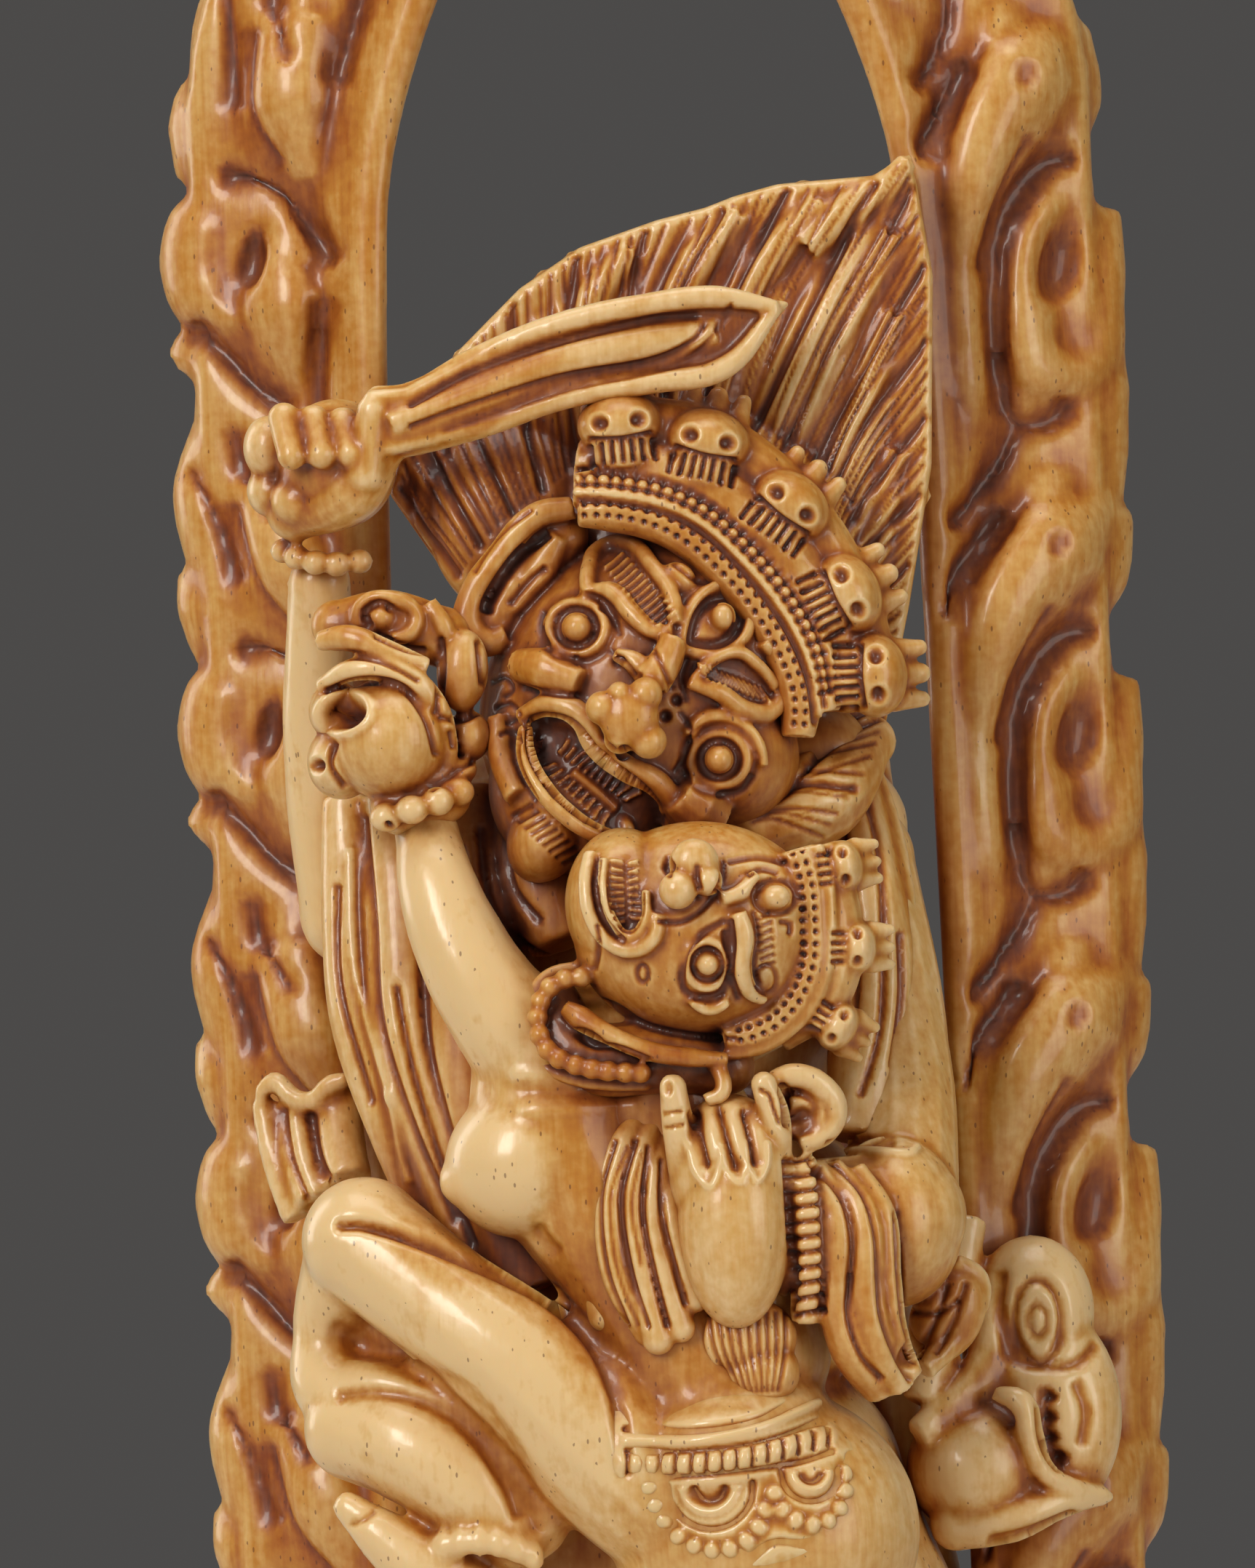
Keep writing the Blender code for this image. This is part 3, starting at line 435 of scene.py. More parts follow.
def left_flame(clay, eye):
    """A folded leaf of flame with two knobs at the rim below it, on the left band."""
    shapes = (([(24.2, 4.0, -0.4), (26.0, 2.4, -0.6), (26.2, -1.4, -0.8), (24.4, -3.8, -1.2)],
               [1.0, 2.1, 2.1, 1.6]),
              ([(24.0, 3.9, -1.0), (21.4, 2.9, -1.7), (19.8, 0.4, -1.9), (18.9, -1.4, -1.4)],
               [0.6, 0.9, 0.9, 0.5]),
              ([(21.6, 1.4, -0.7), (21.4, -2.6, -1.2), (20.8, -6.8, -0.7)], [1.9, 2.7, 1.8]),
              ([(27.6, -5.6, 0.2), (26.5, -4.8, -0.4), (25.4, -6.4, -0.8), (25.6, -9.0, -0.6)],
               [1.0, 1.4, 1.5, 1.3]),
              ([(25.4, -9.6, -0.2), (26.2, -13.4, -0.2), (25.6, -19.0, -0.4), (25.4, -23.0, -0.4)],
               [1.7, 2.2, 1.7, 1.4]),
              ([(22.8, -9.4, -0.8), (22.4, -12.0, -0.8), (22.6, -17.0, -0.6)], [1.5, 2.0, 1.7]),
              ([(27.3, 9.8, 0.4), (27.0, 7.8, -0.2), (26.4, 5.0, 0.2)], [1.0, 1.4, 1.2]),
              ([(22.6, 15.0, -0.6), (21.8, 10.0, -1.0), (19.8, 5.4, -0.8)], [2.8, 3.2, 2.0]),
              ([(26.0, 6.4, -0.4), (23.4, 5.4, -1.0), (20.8, 3.8, -1.2), (18.6, 0.4, -1.0)],
               [1.5, 1.6, 1.5, 1.2]),
              ([(26.4, -4.6, -0.4), (24.0, -6.6, -0.9), (21.6, -9.2, -0.9)], [1.4, 1.5, 1.4]))
    for points, widths in shapes:
        clay.strand([on_band(-1, reach, eye + above, front) for reach, above, front in points], widths)


RIGHT_EYES = [13.2 + FLAME_PITCH * flame for flame in range(6)]
LEFT_EYES = [15.7 + FLAME_PITCH * flame for flame in range(6)]
clay = Clay()
clay.sheet([pointed_arch(26.0, 26.0, 136.0, ARCH_TIP - 3.0), pointed_arch(17.2, 15.8, 128.0, 162.0)],
           FLAME_PLANE - 0.3, 4.0, 0.6)
for eye in RIGHT_EYES:
    right_flame(clay, eye)
for eye in LEFT_EYES:
    left_flame(clay, eye)
rim = pointed_arch(17.6, 16.4, 128.0, 163.0)
clay.strand([(x, 0.2, z) for x, z in rim], [1.5] * len(rim))
clay.strand([(x * 1.09, 0.6, z) for x, z in rim], [1.3] * len(rim))
for side in (-1, 1):
    clay.strand([(side * x, y, z) for x, y, z in ((6.0, 2.2, 161.5), (3.0, 1.2, 166.0), (0.6, 1.2, 170.5),
                                                  (0.0, 2.2, ARCH_TIP - 0.6))], [1.6, 2.6, 2.0, 0.6])
arch = clay.knead("arch_of_flames", grain=0.42)
bpy.ops.object.mode_set(mode="EDIT")
bpy.ops.mesh.select_all(action="SELECT")
bpy.ops.mesh.bisect(plane_co=(0.0, 0.0, ARCH_FOOT * MM), plane_no=(0.0, 0.0, 1.0), use_fill=True,
                    clear_inner=True)
bpy.ops.object.mode_set(mode="OBJECT")
graver = Graver(arch)
for eye in RIGHT_EYES:
    cuts = (([(25.9, 6.8), (23.6, 6.3), (21.4, 3.2), (20.5, -1.0), (20.6, -6.0), (21.3, -8.6), (23.4, -8.6),
              (25.0, -7.4)], 0.6, 0.5, 0.0),
            ([(17.3, -14.9), (19.0, -13.0), (20.6, -10.6), (21.3, -8.8)], 0.75, 0.6, 0.06),
            ([(16.4, 7.6), (17.8, 10.4), (20.6, 14.2)], 0.7, 0.55, 0.06),
            ([(23.4, 8.4), (21.2, 4.6), (19.6, 0.0)], 0.3, 0.45, 0.12))
    for points, depth, width, stain_and_shade in cuts:
        path = [on_band(1, reach, eye + above, 0.0) for reach, above in points]
        path = [(x, z) for x, _, z in path]
        graver.line(path, depth, width * 1.6, stain_and_shade * 0.5)
        graver.line(path, depth * 0.6, width * 0.4, stain_and_shade + 0.16, fade=7.0)
    for reach, above, size, depth, stain_and_shade in (
            (24.3, 0.4, (1.1, 2.1), 0.45, 0.02), (24.4, 1.2, (1.8, 2.9), 0.45, 0.02),
            (23.7, -15.8, (0.6, 0.9), 0.3, 0.08)):
        x, _, z = on_band(1, reach, eye + above, 0.0)
        graver.hollow((x, z), size, depth, stain_and_shade * 2.0, turn=20.0)
for eye in LEFT_EYES:
    cuts = (([(25.0, 5.2), (22.6, 4.9), (20.2, 3.2), (18.2, -0.6)], 0.75, 0.6, 0.06),
            ([(27.2, -3.4), (25.0, -5.0), (22.8, -7.4), (20.6, -8.8)], 0.75, 0.6, 0.06),
            ([(24.4, -9.4), (24.0, -12.0), (22.0, -15.4)], 0.4, 0.45, 0.2),
            ([(27.4, -11.6), (25.8, -14.6), (24.6, -19.0)], 0.4, 0.4, 0.16),
            ([(18.8, -2.0), (19.4, -8.0), (19.0, -16.0)], 0.5, 0.5, 0.2),
            ([(24.8, 14.0), (23.6, 9.0), (21.0, 5.6)], 0.3, 0.4, 0.12))
    for points, depth, width, stain_and_shade in cuts:
        path = [on_band(-1, reach, eye + above, 0.0) for reach, above in points]
        path = [(x, z) for x, _, z in path]
        graver.line(path, depth, width * 1.6, stain_and_shade * 0.5)
        graver.line(path, depth * 0.6, width * 0.4, stain_and_shade + 0.16, fade=7.0)
    x, _, z = on_band(-1, 23.0, eye + 0.3, 0.0)
    graver.hollow((x, z), (0.7, 1.7), 0.9, 0.15, turn=15.0)
reach = np.minimum(np.abs(graver.place[:, 0]), BONE_BEND * 0.9)
graver.place[:, 1] += BONE_BEND - np.sqrt(BONE_BEND ** 2 - reach ** 2)
graver.finish(tone=0.37, hollows=0.5)
place_piece(arch, worn_bone)


# The lotus: the foot of the statue, a rounded block with two rows of broad petals and a low
# lip above them, cut flat underneath so that it all stands on it.
LOTUS_HEIGHT = 14.0
LOTUS_HALF = (30.7, 22.5)
PETAL_WIDTH = 7.8


def lotus_edge(angle, share):
    """A place on the lotus's rounded outline, seen from above."""
    across = math.copysign(abs(math.cos(angle)) ** (2 / 3), math.cos(angle))
    back = math.copysign(abs(math.sin(angle)) ** (2 / 3), math.sin(angle))
    return across * LOTUS_HALF[0] * share, back * LOTUS_HALF[1] * share


clay = Clay()
for low, high, share in ((-0.2, 0.16, 1.0), (0.16, 0.8, 0.86), (0.8, 1.04, 0.95)):
    bpy.ops.object.select_all(action="DESELECT")
    bpy.ops.mesh.primitive_cylinder_add(vertices=96, radius=1.0, depth=(high - low) * LOTUS_HEIGHT * MM,
                                        location=(0.0, 0.0, (low + high) / 2 * LOTUS_HEIGHT * MM))
    layer = bpy.context.active_object
    for vertex in layer.data.vertices:
        x, y = lotus_edge(math.atan2(vertex.co.y, vertex.co.x), share)
        vertex.co.x, vertex.co.y = x * MM, y * MM
    clay.parts.append(layer)
ring = [lotus_edge(step * math.tau / 720, 0.92) for step in range(721)]
lengths = np.array([math.dist(a, b) for a, b in zip(ring, ring[1:])])
petals = round(lengths.sum() / PETAL_WIDTH)
walked = np.cumsum(lengths)
for height, lean, offset in ((0.66, 14.0, 0.5), (0.30, -14.0, 0.0)):
    for petal in range(petals):
        step = int(np.searchsorted(walked, lengths.sum() * ((petal + offset) % petals + 0.01) / petals))
        (ax, ay), (bx, by) = ring[step], ring[step + 1]
        outward = math.degrees(math.atan2(ax - bx, by - ay))
        clay.lump((ax, ay, height * LOTUS_HEIGHT), (1.8, PETAL_WIDTH * 0.5, LOTUS_HEIGHT * 0.27),
                  (0.0, lean, outward))
lotus = clay.knead("lotus_foot", grain=0.5)
bpy.ops.object.mode_set(mode="EDIT")
bpy.ops.mesh.select_all(action="SELECT")
bpy.ops.mesh.bisect(plane_co=(0.0, 0.0, 0.0), plane_no=(0.0, 0.0, 1.0), use_fill=True, clear_inner=True)
bpy.ops.object.mode_set(mode="OBJECT")
Graver(lotus).finish(tone=0.22)
place_piece(lotus, worn_bone)


# The deity's trunk, arms and legs, one knee bent and the other leg straight, with the skirts
# between them and a cloak of long folds down the back. Mostly hidden in front by the consort.
clay = Clay()
clay.lump((-1.0, 1.0, 85.0), (12.5, 7.5, 14.0))
clay.lump((0.0, -1.0, 67.0), (12.0, 9.0, 11.0))
clay.lump((1.0, -0.5, 54.0), (11.5, 8.5, 8.5))
clay.limb([(-12.0, 1.0, 93.0), (0.0, 1.5, 95.5), (10.0, 0.5, 92.0)], [4.6, 5.0, 4.2])
clay.limb([(-5.0, -1.0, 51.0), (-13.0, -3.0, 45.0), (-18.5, -5.0, 39.0)], [7.6, 6.6, 5.4])
clay.limb([(-18.5, -5.0, 39.0), (-18.0, -2.0, 29.0), (-17.5, -1.5, 18.5)], [5.2, 4.8, 3.2])
clay.limb([(-17.5, -2.0, 16.5), (-20.0, -9.0, 15.5)], [3.2, 2.4])
clay.limb([(6.0, -0.5, 51.0), (12.5, -1.0, 38.0), (16.0, -1.0, 27.0), (17.5, -1.0, 18.0)],
          [7.4, 6.0, 4.8, 3.2])
clay.limb([(17.5, -1.5, 16.5), (20.5, -8.0, 15.5)], [3.2, 2.4])
clay.limb([(-12.5, 1.0, 93.0), (-18.5, 1.0, 88.5)], [4.4, 3.2])
clay.limb([(-18.6, 0.5, 88.0), (-19.9, -1.0, 97.0), (-19.6, -3.5, 107.5)], [3.0, 2.3, 1.9])


def folds(clay, first_edge, last_edge, count, thickness):
    """Cloth in folds: strands side by side between two edges."""
    for fold in range(count):
        share = fold / (count - 1)
        points = [tuple(p + (q - p) * share for p, q in zip(a, b)) for a, b in zip(first_edge, last_edge)]
        clay.strand(points, [thickness] * (len(points) - 1) + [thickness * 0.7])


folds(clay, [(-13.0, -3.0, 46.0), (-12.0, -7.0, 32.0), (-10.5, -8.0, 13.0)],
      [(4.0, -8.0, 46.0), (5.0, -9.0, 32.0), (6.0, -9.0, 13.0)], 9, 1.7)
folds(clay,
      [(-11.0, 2.0, 99.0), (-14.5, 5.0, 86.0), (-16.5, 6.0, 62.0), (-16.5, 6.0, 40.0), (-16.0, 6.0, 13.0)],
      [(11.0, 2.0, 99.0), (12.0, 5.0, 86.0), (11.6, 6.0, 60.0), (15.0, 6.0, 40.0), (16.0, 6.0, 13.0)],
      13, 2.1)
body = clay.knead("deity_body", grain=0.5)
Graver(body).finish(tone=0.25)
place_piece(body, worn_bone)


# The hair: a fan of locks standing up behind the crown, cut as long strands and stained brown
# between them, most at the left. Its last lock grows into the rim of the arch.
HAIR_ROOTS = [(-11.6, 107.6), (-9.0, 110.4), (-6.0, 112.6), (-3.0, 114.6), (1.0, 115.6), (5.0, 113.5),
              (8.0, 109.0), (9.5, 104.0), (9.0, 97.0), (5.0, 92.6)]
HAIR_TIPS = [(-14.8, 112.6), (-13.6, 116.8), (-10.5, 120.5), (-7.0, 123.8), (-3.5, 126.0), (1.0, 127.4),
             (3.8, 128.0), (5.5, 128.6), (8.0, 129.2), (13.8, 129.5), (15.4, 130.4), (16.3, 124.0),
             (15.8, 113.0), (14.2, 105.0), (12.2, 96.6), (9.0, 91.6)]
clay = Clay()
clay.sheet([HAIR_ROOTS + HAIR_TIPS[::-1]], -1.8, 3.6, 0.5)
clay.lump((2.0, -3.6, 106.0), (10.6, 4.4, 11.0))
clay.lump((-8.0, -3.4, 110.6), (5.2, 3.4, 6.2), (0.0, -14.0, 0.0))
clay.limb([(5.0, -8.0, 92.6), (9.0, -7.0, 94.0), (12.0, -4.0, 97.0)], [2.6, 2.8, 1.6])
for points in ([(9.4, 126.0), (11.6, 127.8), (14.6, 129.6), (15.6, 130.8)],
               [(1.0, 122.0), (3.2, 125.4), (5.6, 128.2)], [(-4.0, 120.6), (-3.0, 123.4), (-0.6, 126.2)],
               [(5.0, 121.6), (7.0, 125.0), (10.4, 128.6)], [(8.0, 116.0), (11.0, 121.0), (14.6, 126.6)],
               [(9.4, 110.0), (12.0, 116.0), (14.4, 122.0)],
               [(10.6, 104.0), (12.8, 109.0), (14.2, 114.0)]):
    clay.strand([(x, -3.2, z) for x, z in points], [1.2, 1.3, 0.9, 0.6][:len(points)])
chance = np.random.default_rng(7)
roots = smooth_path(HAIR_ROOTS, 0.2)
tips = smooth_path(HAIR_TIPS, 0.2)
for lock in range(38):
    share = (lock + 0.5) / 38
    root = roots[round(share * (len(roots) - 1))]
    tip = tips[round(share * (len(tips) - 1))] + chance.uniform(-0.5, 0.3, 2)
    middle = (root + tip) / 2 + np.array((-0.5, 0.4)) + chance.uniform(-0.3, 0.3, 2)
    front = chance.uniform(-3.9, -3.2)
    thick = chance.uniform(0.6, 1.0)
    clay.limb([(root[0], front, root[1]), (middle[0], front, middle[1]), (tip[0], front * 0.6, tip[1])],
              [thick, thick, thick * 0.5])
hair = clay.knead("hair", grain=0.2)
graver = Graver(hair)
LOCKS = 90
for lock in range(LOCKS):
    share = (lock + chance.uniform(-0.3, 0.3)) / (LOCKS - 1)
    share = min(max(share, 0.0), 1.0)
    root = roots[round(share * (len(roots) - 1))]
    tip = tips[round(share * (len(tips) - 1))]
    lean = chance.uniform(-0.35, 0.35)
    middle = ((root[0] + tip[0]) / 2 - 0.5 + lean, (root[1] + tip[1]) / 2 + 0.4 - lean)
    deep = lock % 5 == 0
    graver.line([root, middle, tip], 0.4 if deep else chance.uniform(0.08, 0.2),
                0.26 if deep else chance.uniform(0.1, 0.16), 0.2 if deep else 0.08, fade=0.0)
graver.wash((-9.0, 113.0), (6.5, 6.5), 0.22)
graver.wash((0.0, 123.0), (6.0, 4.0), 0.10, 20.0)
graver.wash((14.8, 120.0), (1.7, 10.0), 0.2, 4.0)
graver.finish(tone=0.35, hollows=1.0)
place_piece(hair, worn_bone)


# The sword: a leaf-shaped blade with a sunk panel between two ridges, laid back over the hair
# in the deity's right fist, whose knuckles and thumb close round its grip.
clay = Clay()
UPPER_EDGE = [(-16.0, -9.2, 118.0), (-14.0, -9.4, 118.1), (-10.0, -10.0, 120.0), (-5.0, -10.6, 121.8),
              (0.0, -11.0, 122.7), (4.0, -11.2, 123.0), (7.6, -11.0, 122.3)]
LOWER_EDGE = [(-16.0, -9.2, 114.9), (-15.0, -9.3, 115.0), (-10.0, -10.0, 116.0), (-5.0, -10.6, 117.5),
              (0.0, -11.0, 118.2), (4.4, -11.2, 118.9), (7.6, -11.0, 122.3)]
clay.sheet([[(x, z) for x, _, z in UPPER_EDGE] + [(x, z) for x, _, z in LOWER_EDGE[-2::-1]]], -9.9, 1.8, 0.4)
clay.strand(UPPER_EDGE, [0.7] * 6 + [0.4])
clay.strand(LOWER_EDGE, [0.7] * 6 + [0.4])
clay.strand([(x, -10.4, z)
             for x, z in ((-15.0, 116.4), (-10.0, 117.9), (-5.0, 119.6), (0.0, 120.5), (4.0, 121.0))],
            [0.9, 1.1, 1.2, 1.2, 0.9])
clay.lump((-18.3, -6.0, 114.3), (3.5, 4.0, 3.8))
clay.limb([(-20.8, -6.0, 111.6), (-17.4, -8.5, 112.8), (-15.8, -9.0, 115.0)], [1.7, 1.9, 1.5])
for finger in range(3):
    x = -21.2 + finger * 1.7
    clay.limb([(x, -9.0, 117.0 - finger * 0.2), (x + 0.4, -10.2, 114.8)], [0.95, 0.85])
clay.limb([(-16.6, -9.8, 113.6), (-16.0, -10.2, 117.2)], [1.2, 0.95])
clay.beads([(-21.6, -4.6, 109.4), (-20.4, -6.0, 108.8), (-18.8, -6.4, 108.5), (-17.2, -6.0, 108.6)], 5,
           (0.8, 0.8, 0.75))
clay.lump((-22.2, -5.8, 115.4), (1.5, 1.9, 1.9))
clay.lump((-22.3, -5.4, 112.9), (1.3, 1.7, 1.5))
clay.lump((-20.6, -7.0, 112.2), (1.6, 1.8, 1.5), (0.0, 20.0, 0.0))
sword = clay.knead("sword_and_fist", grain=0.2)
graver = Graver(sword)
graver.line([(-14.0, 117.4), (-10.0, 119.3), (-5.0, 120.8), (0.0, 121.8), (3.0, 122.0)], 0.3, 0.18, 0.36)
graver.line([(-14.0, 116.1), (-10.0, 117.4), (-5.0, 118.7), (0.0, 119.4), (2.5, 120.4), (3.4, 121.6)],
            0.3, 0.18, 0.36)
graver.line([(-12.0, 115.9), (-5.0, 117.9), (-1.0, 118.6), (2.0, 119.3), (3.8, 120.8), (5.0, 122.6)],
            0.12, 0.16, 0.2)
graver.wash((-9.0, 118.0), (5.5, 2.6), 0.22, -20.0)
graver.wash((-19.0, 113.6), (3.4, 5.0), 0.12)
graver.finish(tone=0.29)
place_piece(sword, worn_bone)


# The deity's head, tilted over the consort's: a broad wrathful face with three round eyes,
# ridged brows, a blunt nose and an open mouth with teeth, and a long ear at the left.
FACE_TILT = 45.0
FACE_EGGS = [((-0.9, -6.4, 100.1), (9.0, 7.6, 10.4)), ((-4.4, -8.6, 95.4), (5.6, 5.2, 6.0)),
             ((3.4, -8.6, 96.6), (4.6, 4.8, 4.4))]


def front_of(eggs, x, z, tilt):
    """How far forward some tilted eggs stand at a place."""
    lean = math.radians(tilt)
    front = 0.0
    for (middle_x, middle_y, middle_z), (wide, deep, tall) in eggs:
        across = ((x - middle_x) * math.cos(lean) - (z - middle_z) * math.sin(lean)) / wide
        up = ((x - middle_x) * math.sin(lean) + (z - middle_z) * math.cos(lean)) / tall
        left = 1.0 - across ** 2 - up ** 2
        if left > 0.0:
            front = min(front, middle_y - deep * math.sqrt(left))
    return front


def laid(eggs, points, rise, tilt=FACE_TILT):
    """Places laid over some eggs, standing this far out of them."""
    return [(x, front_of(eggs, x, z, tilt) - rise, z) for x, z in points]


def loop(centre, half_width, half_height, tilt=0.0, steps=12):
    """A closed oval in X and Z."""
    points = []
    lean = math.radians(tilt)
    for step in range(steps):
        angle = step * math.tau / steps
        across = half_width * math.cos(angle)
        up = half_height * math.sin(angle)
        points.append((centre[0] + across * math.cos(lean) + up * math.sin(lean),
                       centre[1] - across * math.sin(lean) + up * math.cos(lean)))
    return points


clay = Clay()
for place, size in FACE_EGGS:
    clay.lump(place, size, (0.0, FACE_TILT, 0.0))


def ridge(points, widths, rise):
    clay.strand(laid(FACE_EGGS, points, rise), widths)


clay.lump((-6.9, -10.6, 92.2), (2.2, 3.4, 2.8), (0.0, 30.0, 0.0))
ridge([(-8.2, 102.2), (-6.4, 101.8), (-4.6, 101.0)], [1.0, 1.3, 0.8], 0.5)
ridge([(0.6, 94.6), (1.8, 93.6), (3.2, 92.8)], [1.5, 1.9, 1.3], 0.4)
ridge([(-9.4, 99.2), (-9.2, 96.8), (-8.4, 94.6)], [0.8, 0.9, 0.9], 0.0)
for place, size in (((-4.7, 104.2), 0.9), ((3.2, 96.3), 0.85)):
    clay.lump(laid(FACE_EGGS, [place], 0.35)[0], (size, 1.2, size))
    rim = loop(place, 1.6, 1.45)
    clay.strand(laid(FACE_EGGS, rim, 0.0), [0.4] * len(rim), closed=True)
clay.lump(laid(FACE_EGGS, [(3.75, 104.5)], 0.2)[0], (0.75, 0.9, 0.85))
almond = [(1.5, 102.9), (1.7, 104.4), (2.6, 105.8), (4.0, 106.4), (5.1, 105.4), (5.2, 103.9),
          (4.4, 102.9), (2.9, 102.4)]
clay.strand(laid(FACE_EGGS, almond, 0.1), [0.42] * len(almond), closed=True)
for x, z, size, rise in ((-1.9, 98.9, 1.75, 2.2), (-3.4, 99.5, 1.0, 2.2), (-0.8, 97.5, 1.05, 2.2),
                         (-0.9, 100.2, 1.0, 2.0), (-2.5, 97.7, 0.9, 2.0), (-2.4, 100.3, 0.7, 2.0)):
    clay.lump(laid(FACE_EGGS, [(x, z)], rise)[0], (size, 1.2, size))
ridge([(0.9, 103.4), (0.3, 102.0), (-0.6, 100.9)], [0.8, 1.0, 1.2], 0.7)
ridge([(-2.6, 102.6), (-1.4, 102.0), (-0.6, 100.8)], [0.4, 0.7, 0.7], 0.5)
ridge([(-8.2, 99.2), (-6.2, 99.8), (-4.6, 99.0), (-3.8, 97.4), (-2.2, 96.0), (-0.4, 95.0), (0.4, 93.6),
       (0.2, 92.4)], [0.5, 0.75, 0.8, 0.8, 0.8, 0.8, 0.7, 0.5], 0.7)
ridge([(-7.9, 98.6), (-7.9, 97.0), (-7.0, 95.0), (-5.6, 93.4), (-4.0, 92.3), (-2.2, 91.7)],
      [0.45, 0.6, 0.65, 0.65, 0.6, 0.5], 1.0)
ridge([(-4.0, 106.0), (-3.9, 107.6), (-3.0, 108.9), (-1.6, 109.0), (-0.2, 107.6), (0.9, 105.6),
       (1.0, 104.2)], [0.5, 0.5, 0.5, 0.5, 0.5, 0.5, 0.4], 0.5)
ridge([(-3.6, 106.4), (-2.6, 106.2), (-1.4, 104.8), (-0.2, 103.8), (0.8, 103.8)],
      [0.4, 0.6, 0.6, 0.5, 0.4], 0.5)
ridge([(2.0, 101.0), (3.2, 102.1), (4.6, 102.4), (5.6, 101.7), (6.6, 100.4)], [0.35, 0.4, 0.4, 0.4, 0.4],
      0.5)
ridge([(1.6, 100.8), (3.4, 100.1), (5.0, 99.0), (6.3, 99.0), (7.1, 100.2), (7.0, 101.6), (6.0, 103.0)],
      [0.4, 0.55, 0.6, 0.6, 0.55, 0.5, 0.4], 0.6)
clay.lump(laid(FACE_EGGS, [(1.3, 106.8)], 0.1)[0], (1.1, 0.8, 0.9), (0.0, 45.0, 0.0))
ridge([(1.4, 97.7), (2.6, 98.7), (4.2, 98.4), (5.4, 97.2), (5.8, 95.8)], [0.35, 0.5, 0.5, 0.45, 0.3], 0.3)
EAR = [(-4.6, 111.2), (-6.8, 110.8), (-9.0, 108.6), (-10.8, 106.0), (-10.9, 104.4), (-9.8, 103.6),
       (-8.8, 104.0)]
clay.strand([(x, -9.4, z) for x, z in EAR], [0.7, 0.8, 0.8, 0.85, 0.95, 0.9, 0.6])
clay.strand([(x, -8.8, z) for x, z in ((-5.6, 109.6), (-6.8, 107.6), (-8.2, 106.0), (-9.4, 104.8))],
            [0.8, 1.0, 0.8, 0.6])
clay.limb([(-5.4, -7.6, 109.6), (-8.4, -7.4, 106.6), (-9.6, -8.0, 104.6)], [1.6, 2.2, 1.6])
head = clay.knead("deity_head", grain=0.15, passes=7)
graver = Graver(head, force=0.7)
graver.hollow((-4.4, 95.6), (4.3, 1.9), 2.0, 0.30, turn=42.0)
for x, z, size in ((-4.7, 104.2, 1.1), (3.2, 96.3, 1.08)):
    rim = loop((x, z), size, size)
    graver.line(rim + rim[:1], 0.26, 0.22, 0.06, fade=0.0)
    rim = loop((x, z), size + 1.1, size + 0.95)
    graver.line(rim + rim[:1], 0.16, 0.22, 0.06, fade=0.0)
graver.line([(1.9, 103.2), (2.3, 104.6), (3.2, 105.5), (4.2, 105.5), (4.7, 104.6), (4.3, 103.5),
             (3.2, 103.0), (1.9, 103.2)], 0.5, 0.26, 0.25, fade=0.0)
graver.ticks((-2.4, 108.0), (0.5, 104.5), 12, 1.5, 54.0, -0.28, 0.11, -0.12)
graver.line([(-2.8, 108.2), (-1.2, 106.2), (0.4, 104.2)], 0.2, 0.7, 0.16)
graver.ticks((2.5, 101.4), (6.0, 99.9), 12, 1.2, -30.0, -0.28, 0.10, -0.12)
graver.line([(2.2, 101.3), (4.2, 101.2), (6.2, 99.9)], 0.2, 0.55, 0.16)
graver.ticks((-6.0, 97.7), (-1.6, 94.2), 11, 1.1, 48.0, -0.5, 0.14, -0.2)
graver.ticks((-6.9, 96.4), (-3.4, 92.9), 9, 0.9, 48.0, -0.45, 0.14, -0.2)
graver.line([(-5.6, 96.2), (-3.8, 94.6), (-2.4, 93.2)], -0.8, 0.5, -0.1)
graver.hollow((-2.1, 92.5), (0.4, 0.4), -0.9, -0.2)
graver.ticks((-8.3, 93.8), (-5.4, 90.9), 9, 1.5, 62.0, 0.22, 0.13, 0.22)
for points in ([(-8.0, 100.9), (-6.0, 100.4), (-4.6, 100.3)],
               [(-9.9, 101.2), (-9.0, 101.5), (-8.6, 100.8), (-9.2, 100.3)],
               [(-9.7, 99.7), (-8.8, 100.0), (-8.3, 99.3), (-9.0, 98.8)],
               [(-9.5, 98.2), (-8.7, 98.4), (-8.3, 97.7)], [(-2.9, 102.9), (-2.0, 102.1), (-1.4, 101.2)],
               [(-0.4, 102.8), (0.2, 101.6), (0.7, 100.4)], [(1.6, 102.2), (1.2, 101.0), (1.5, 99.6)],
               [(-6.6, 105.4), (-6.8, 104.2), (-6.0, 102.8), (-4.6, 102.4)],
               [(-3.4, 105.4), (-2.6, 104.8), (-2.2, 103.6)],
               [(1.0, 99.2), (1.6, 98.0), (1.2, 96.6), (0.6, 95.6)],
               [(5.2, 95.4), (4.4, 94.4), (3.0, 94.2)], [(0.9, 107.8), (2.4, 106.6), (3.4, 106.9)],
               [(-7.0, 99.0), (-5.4, 98.8), (-4.4, 97.6), (-3.2, 96.2)],
               [(-8.6, 98.0), (-8.4, 96.4), (-7.4, 94.2)], [(-7.6, 97.4), (-6.6, 95.0), (-4.4, 93.0)],
               [(-10.6, 107.6), (-9.2, 109.6), (-7.0, 111.2)]):
    graver.line(points, 0.25, 0.16, 0.18)
for x, z in ((-2.2, 96.9), (0.2, 98.9), (-2.4, 102.2), (0.9, 99.8)):
    graver.hollow((x, z), (0.35, 0.35), 0.6, 0.3)
graver.line([(-6.0, 109.9), (-8.0, 108.4), (-9.6, 106.2), (-9.9, 105.2)], 0.7, 0.3, 0.3)
graver.line([(-6.2, 107.8), (-7.4, 107.0), (-8.6, 105.6)], 0.5, 0.25, 0.3)
graver.finish(tone=0.37, hollows=0.8)
place_piece(head, worn_bone)


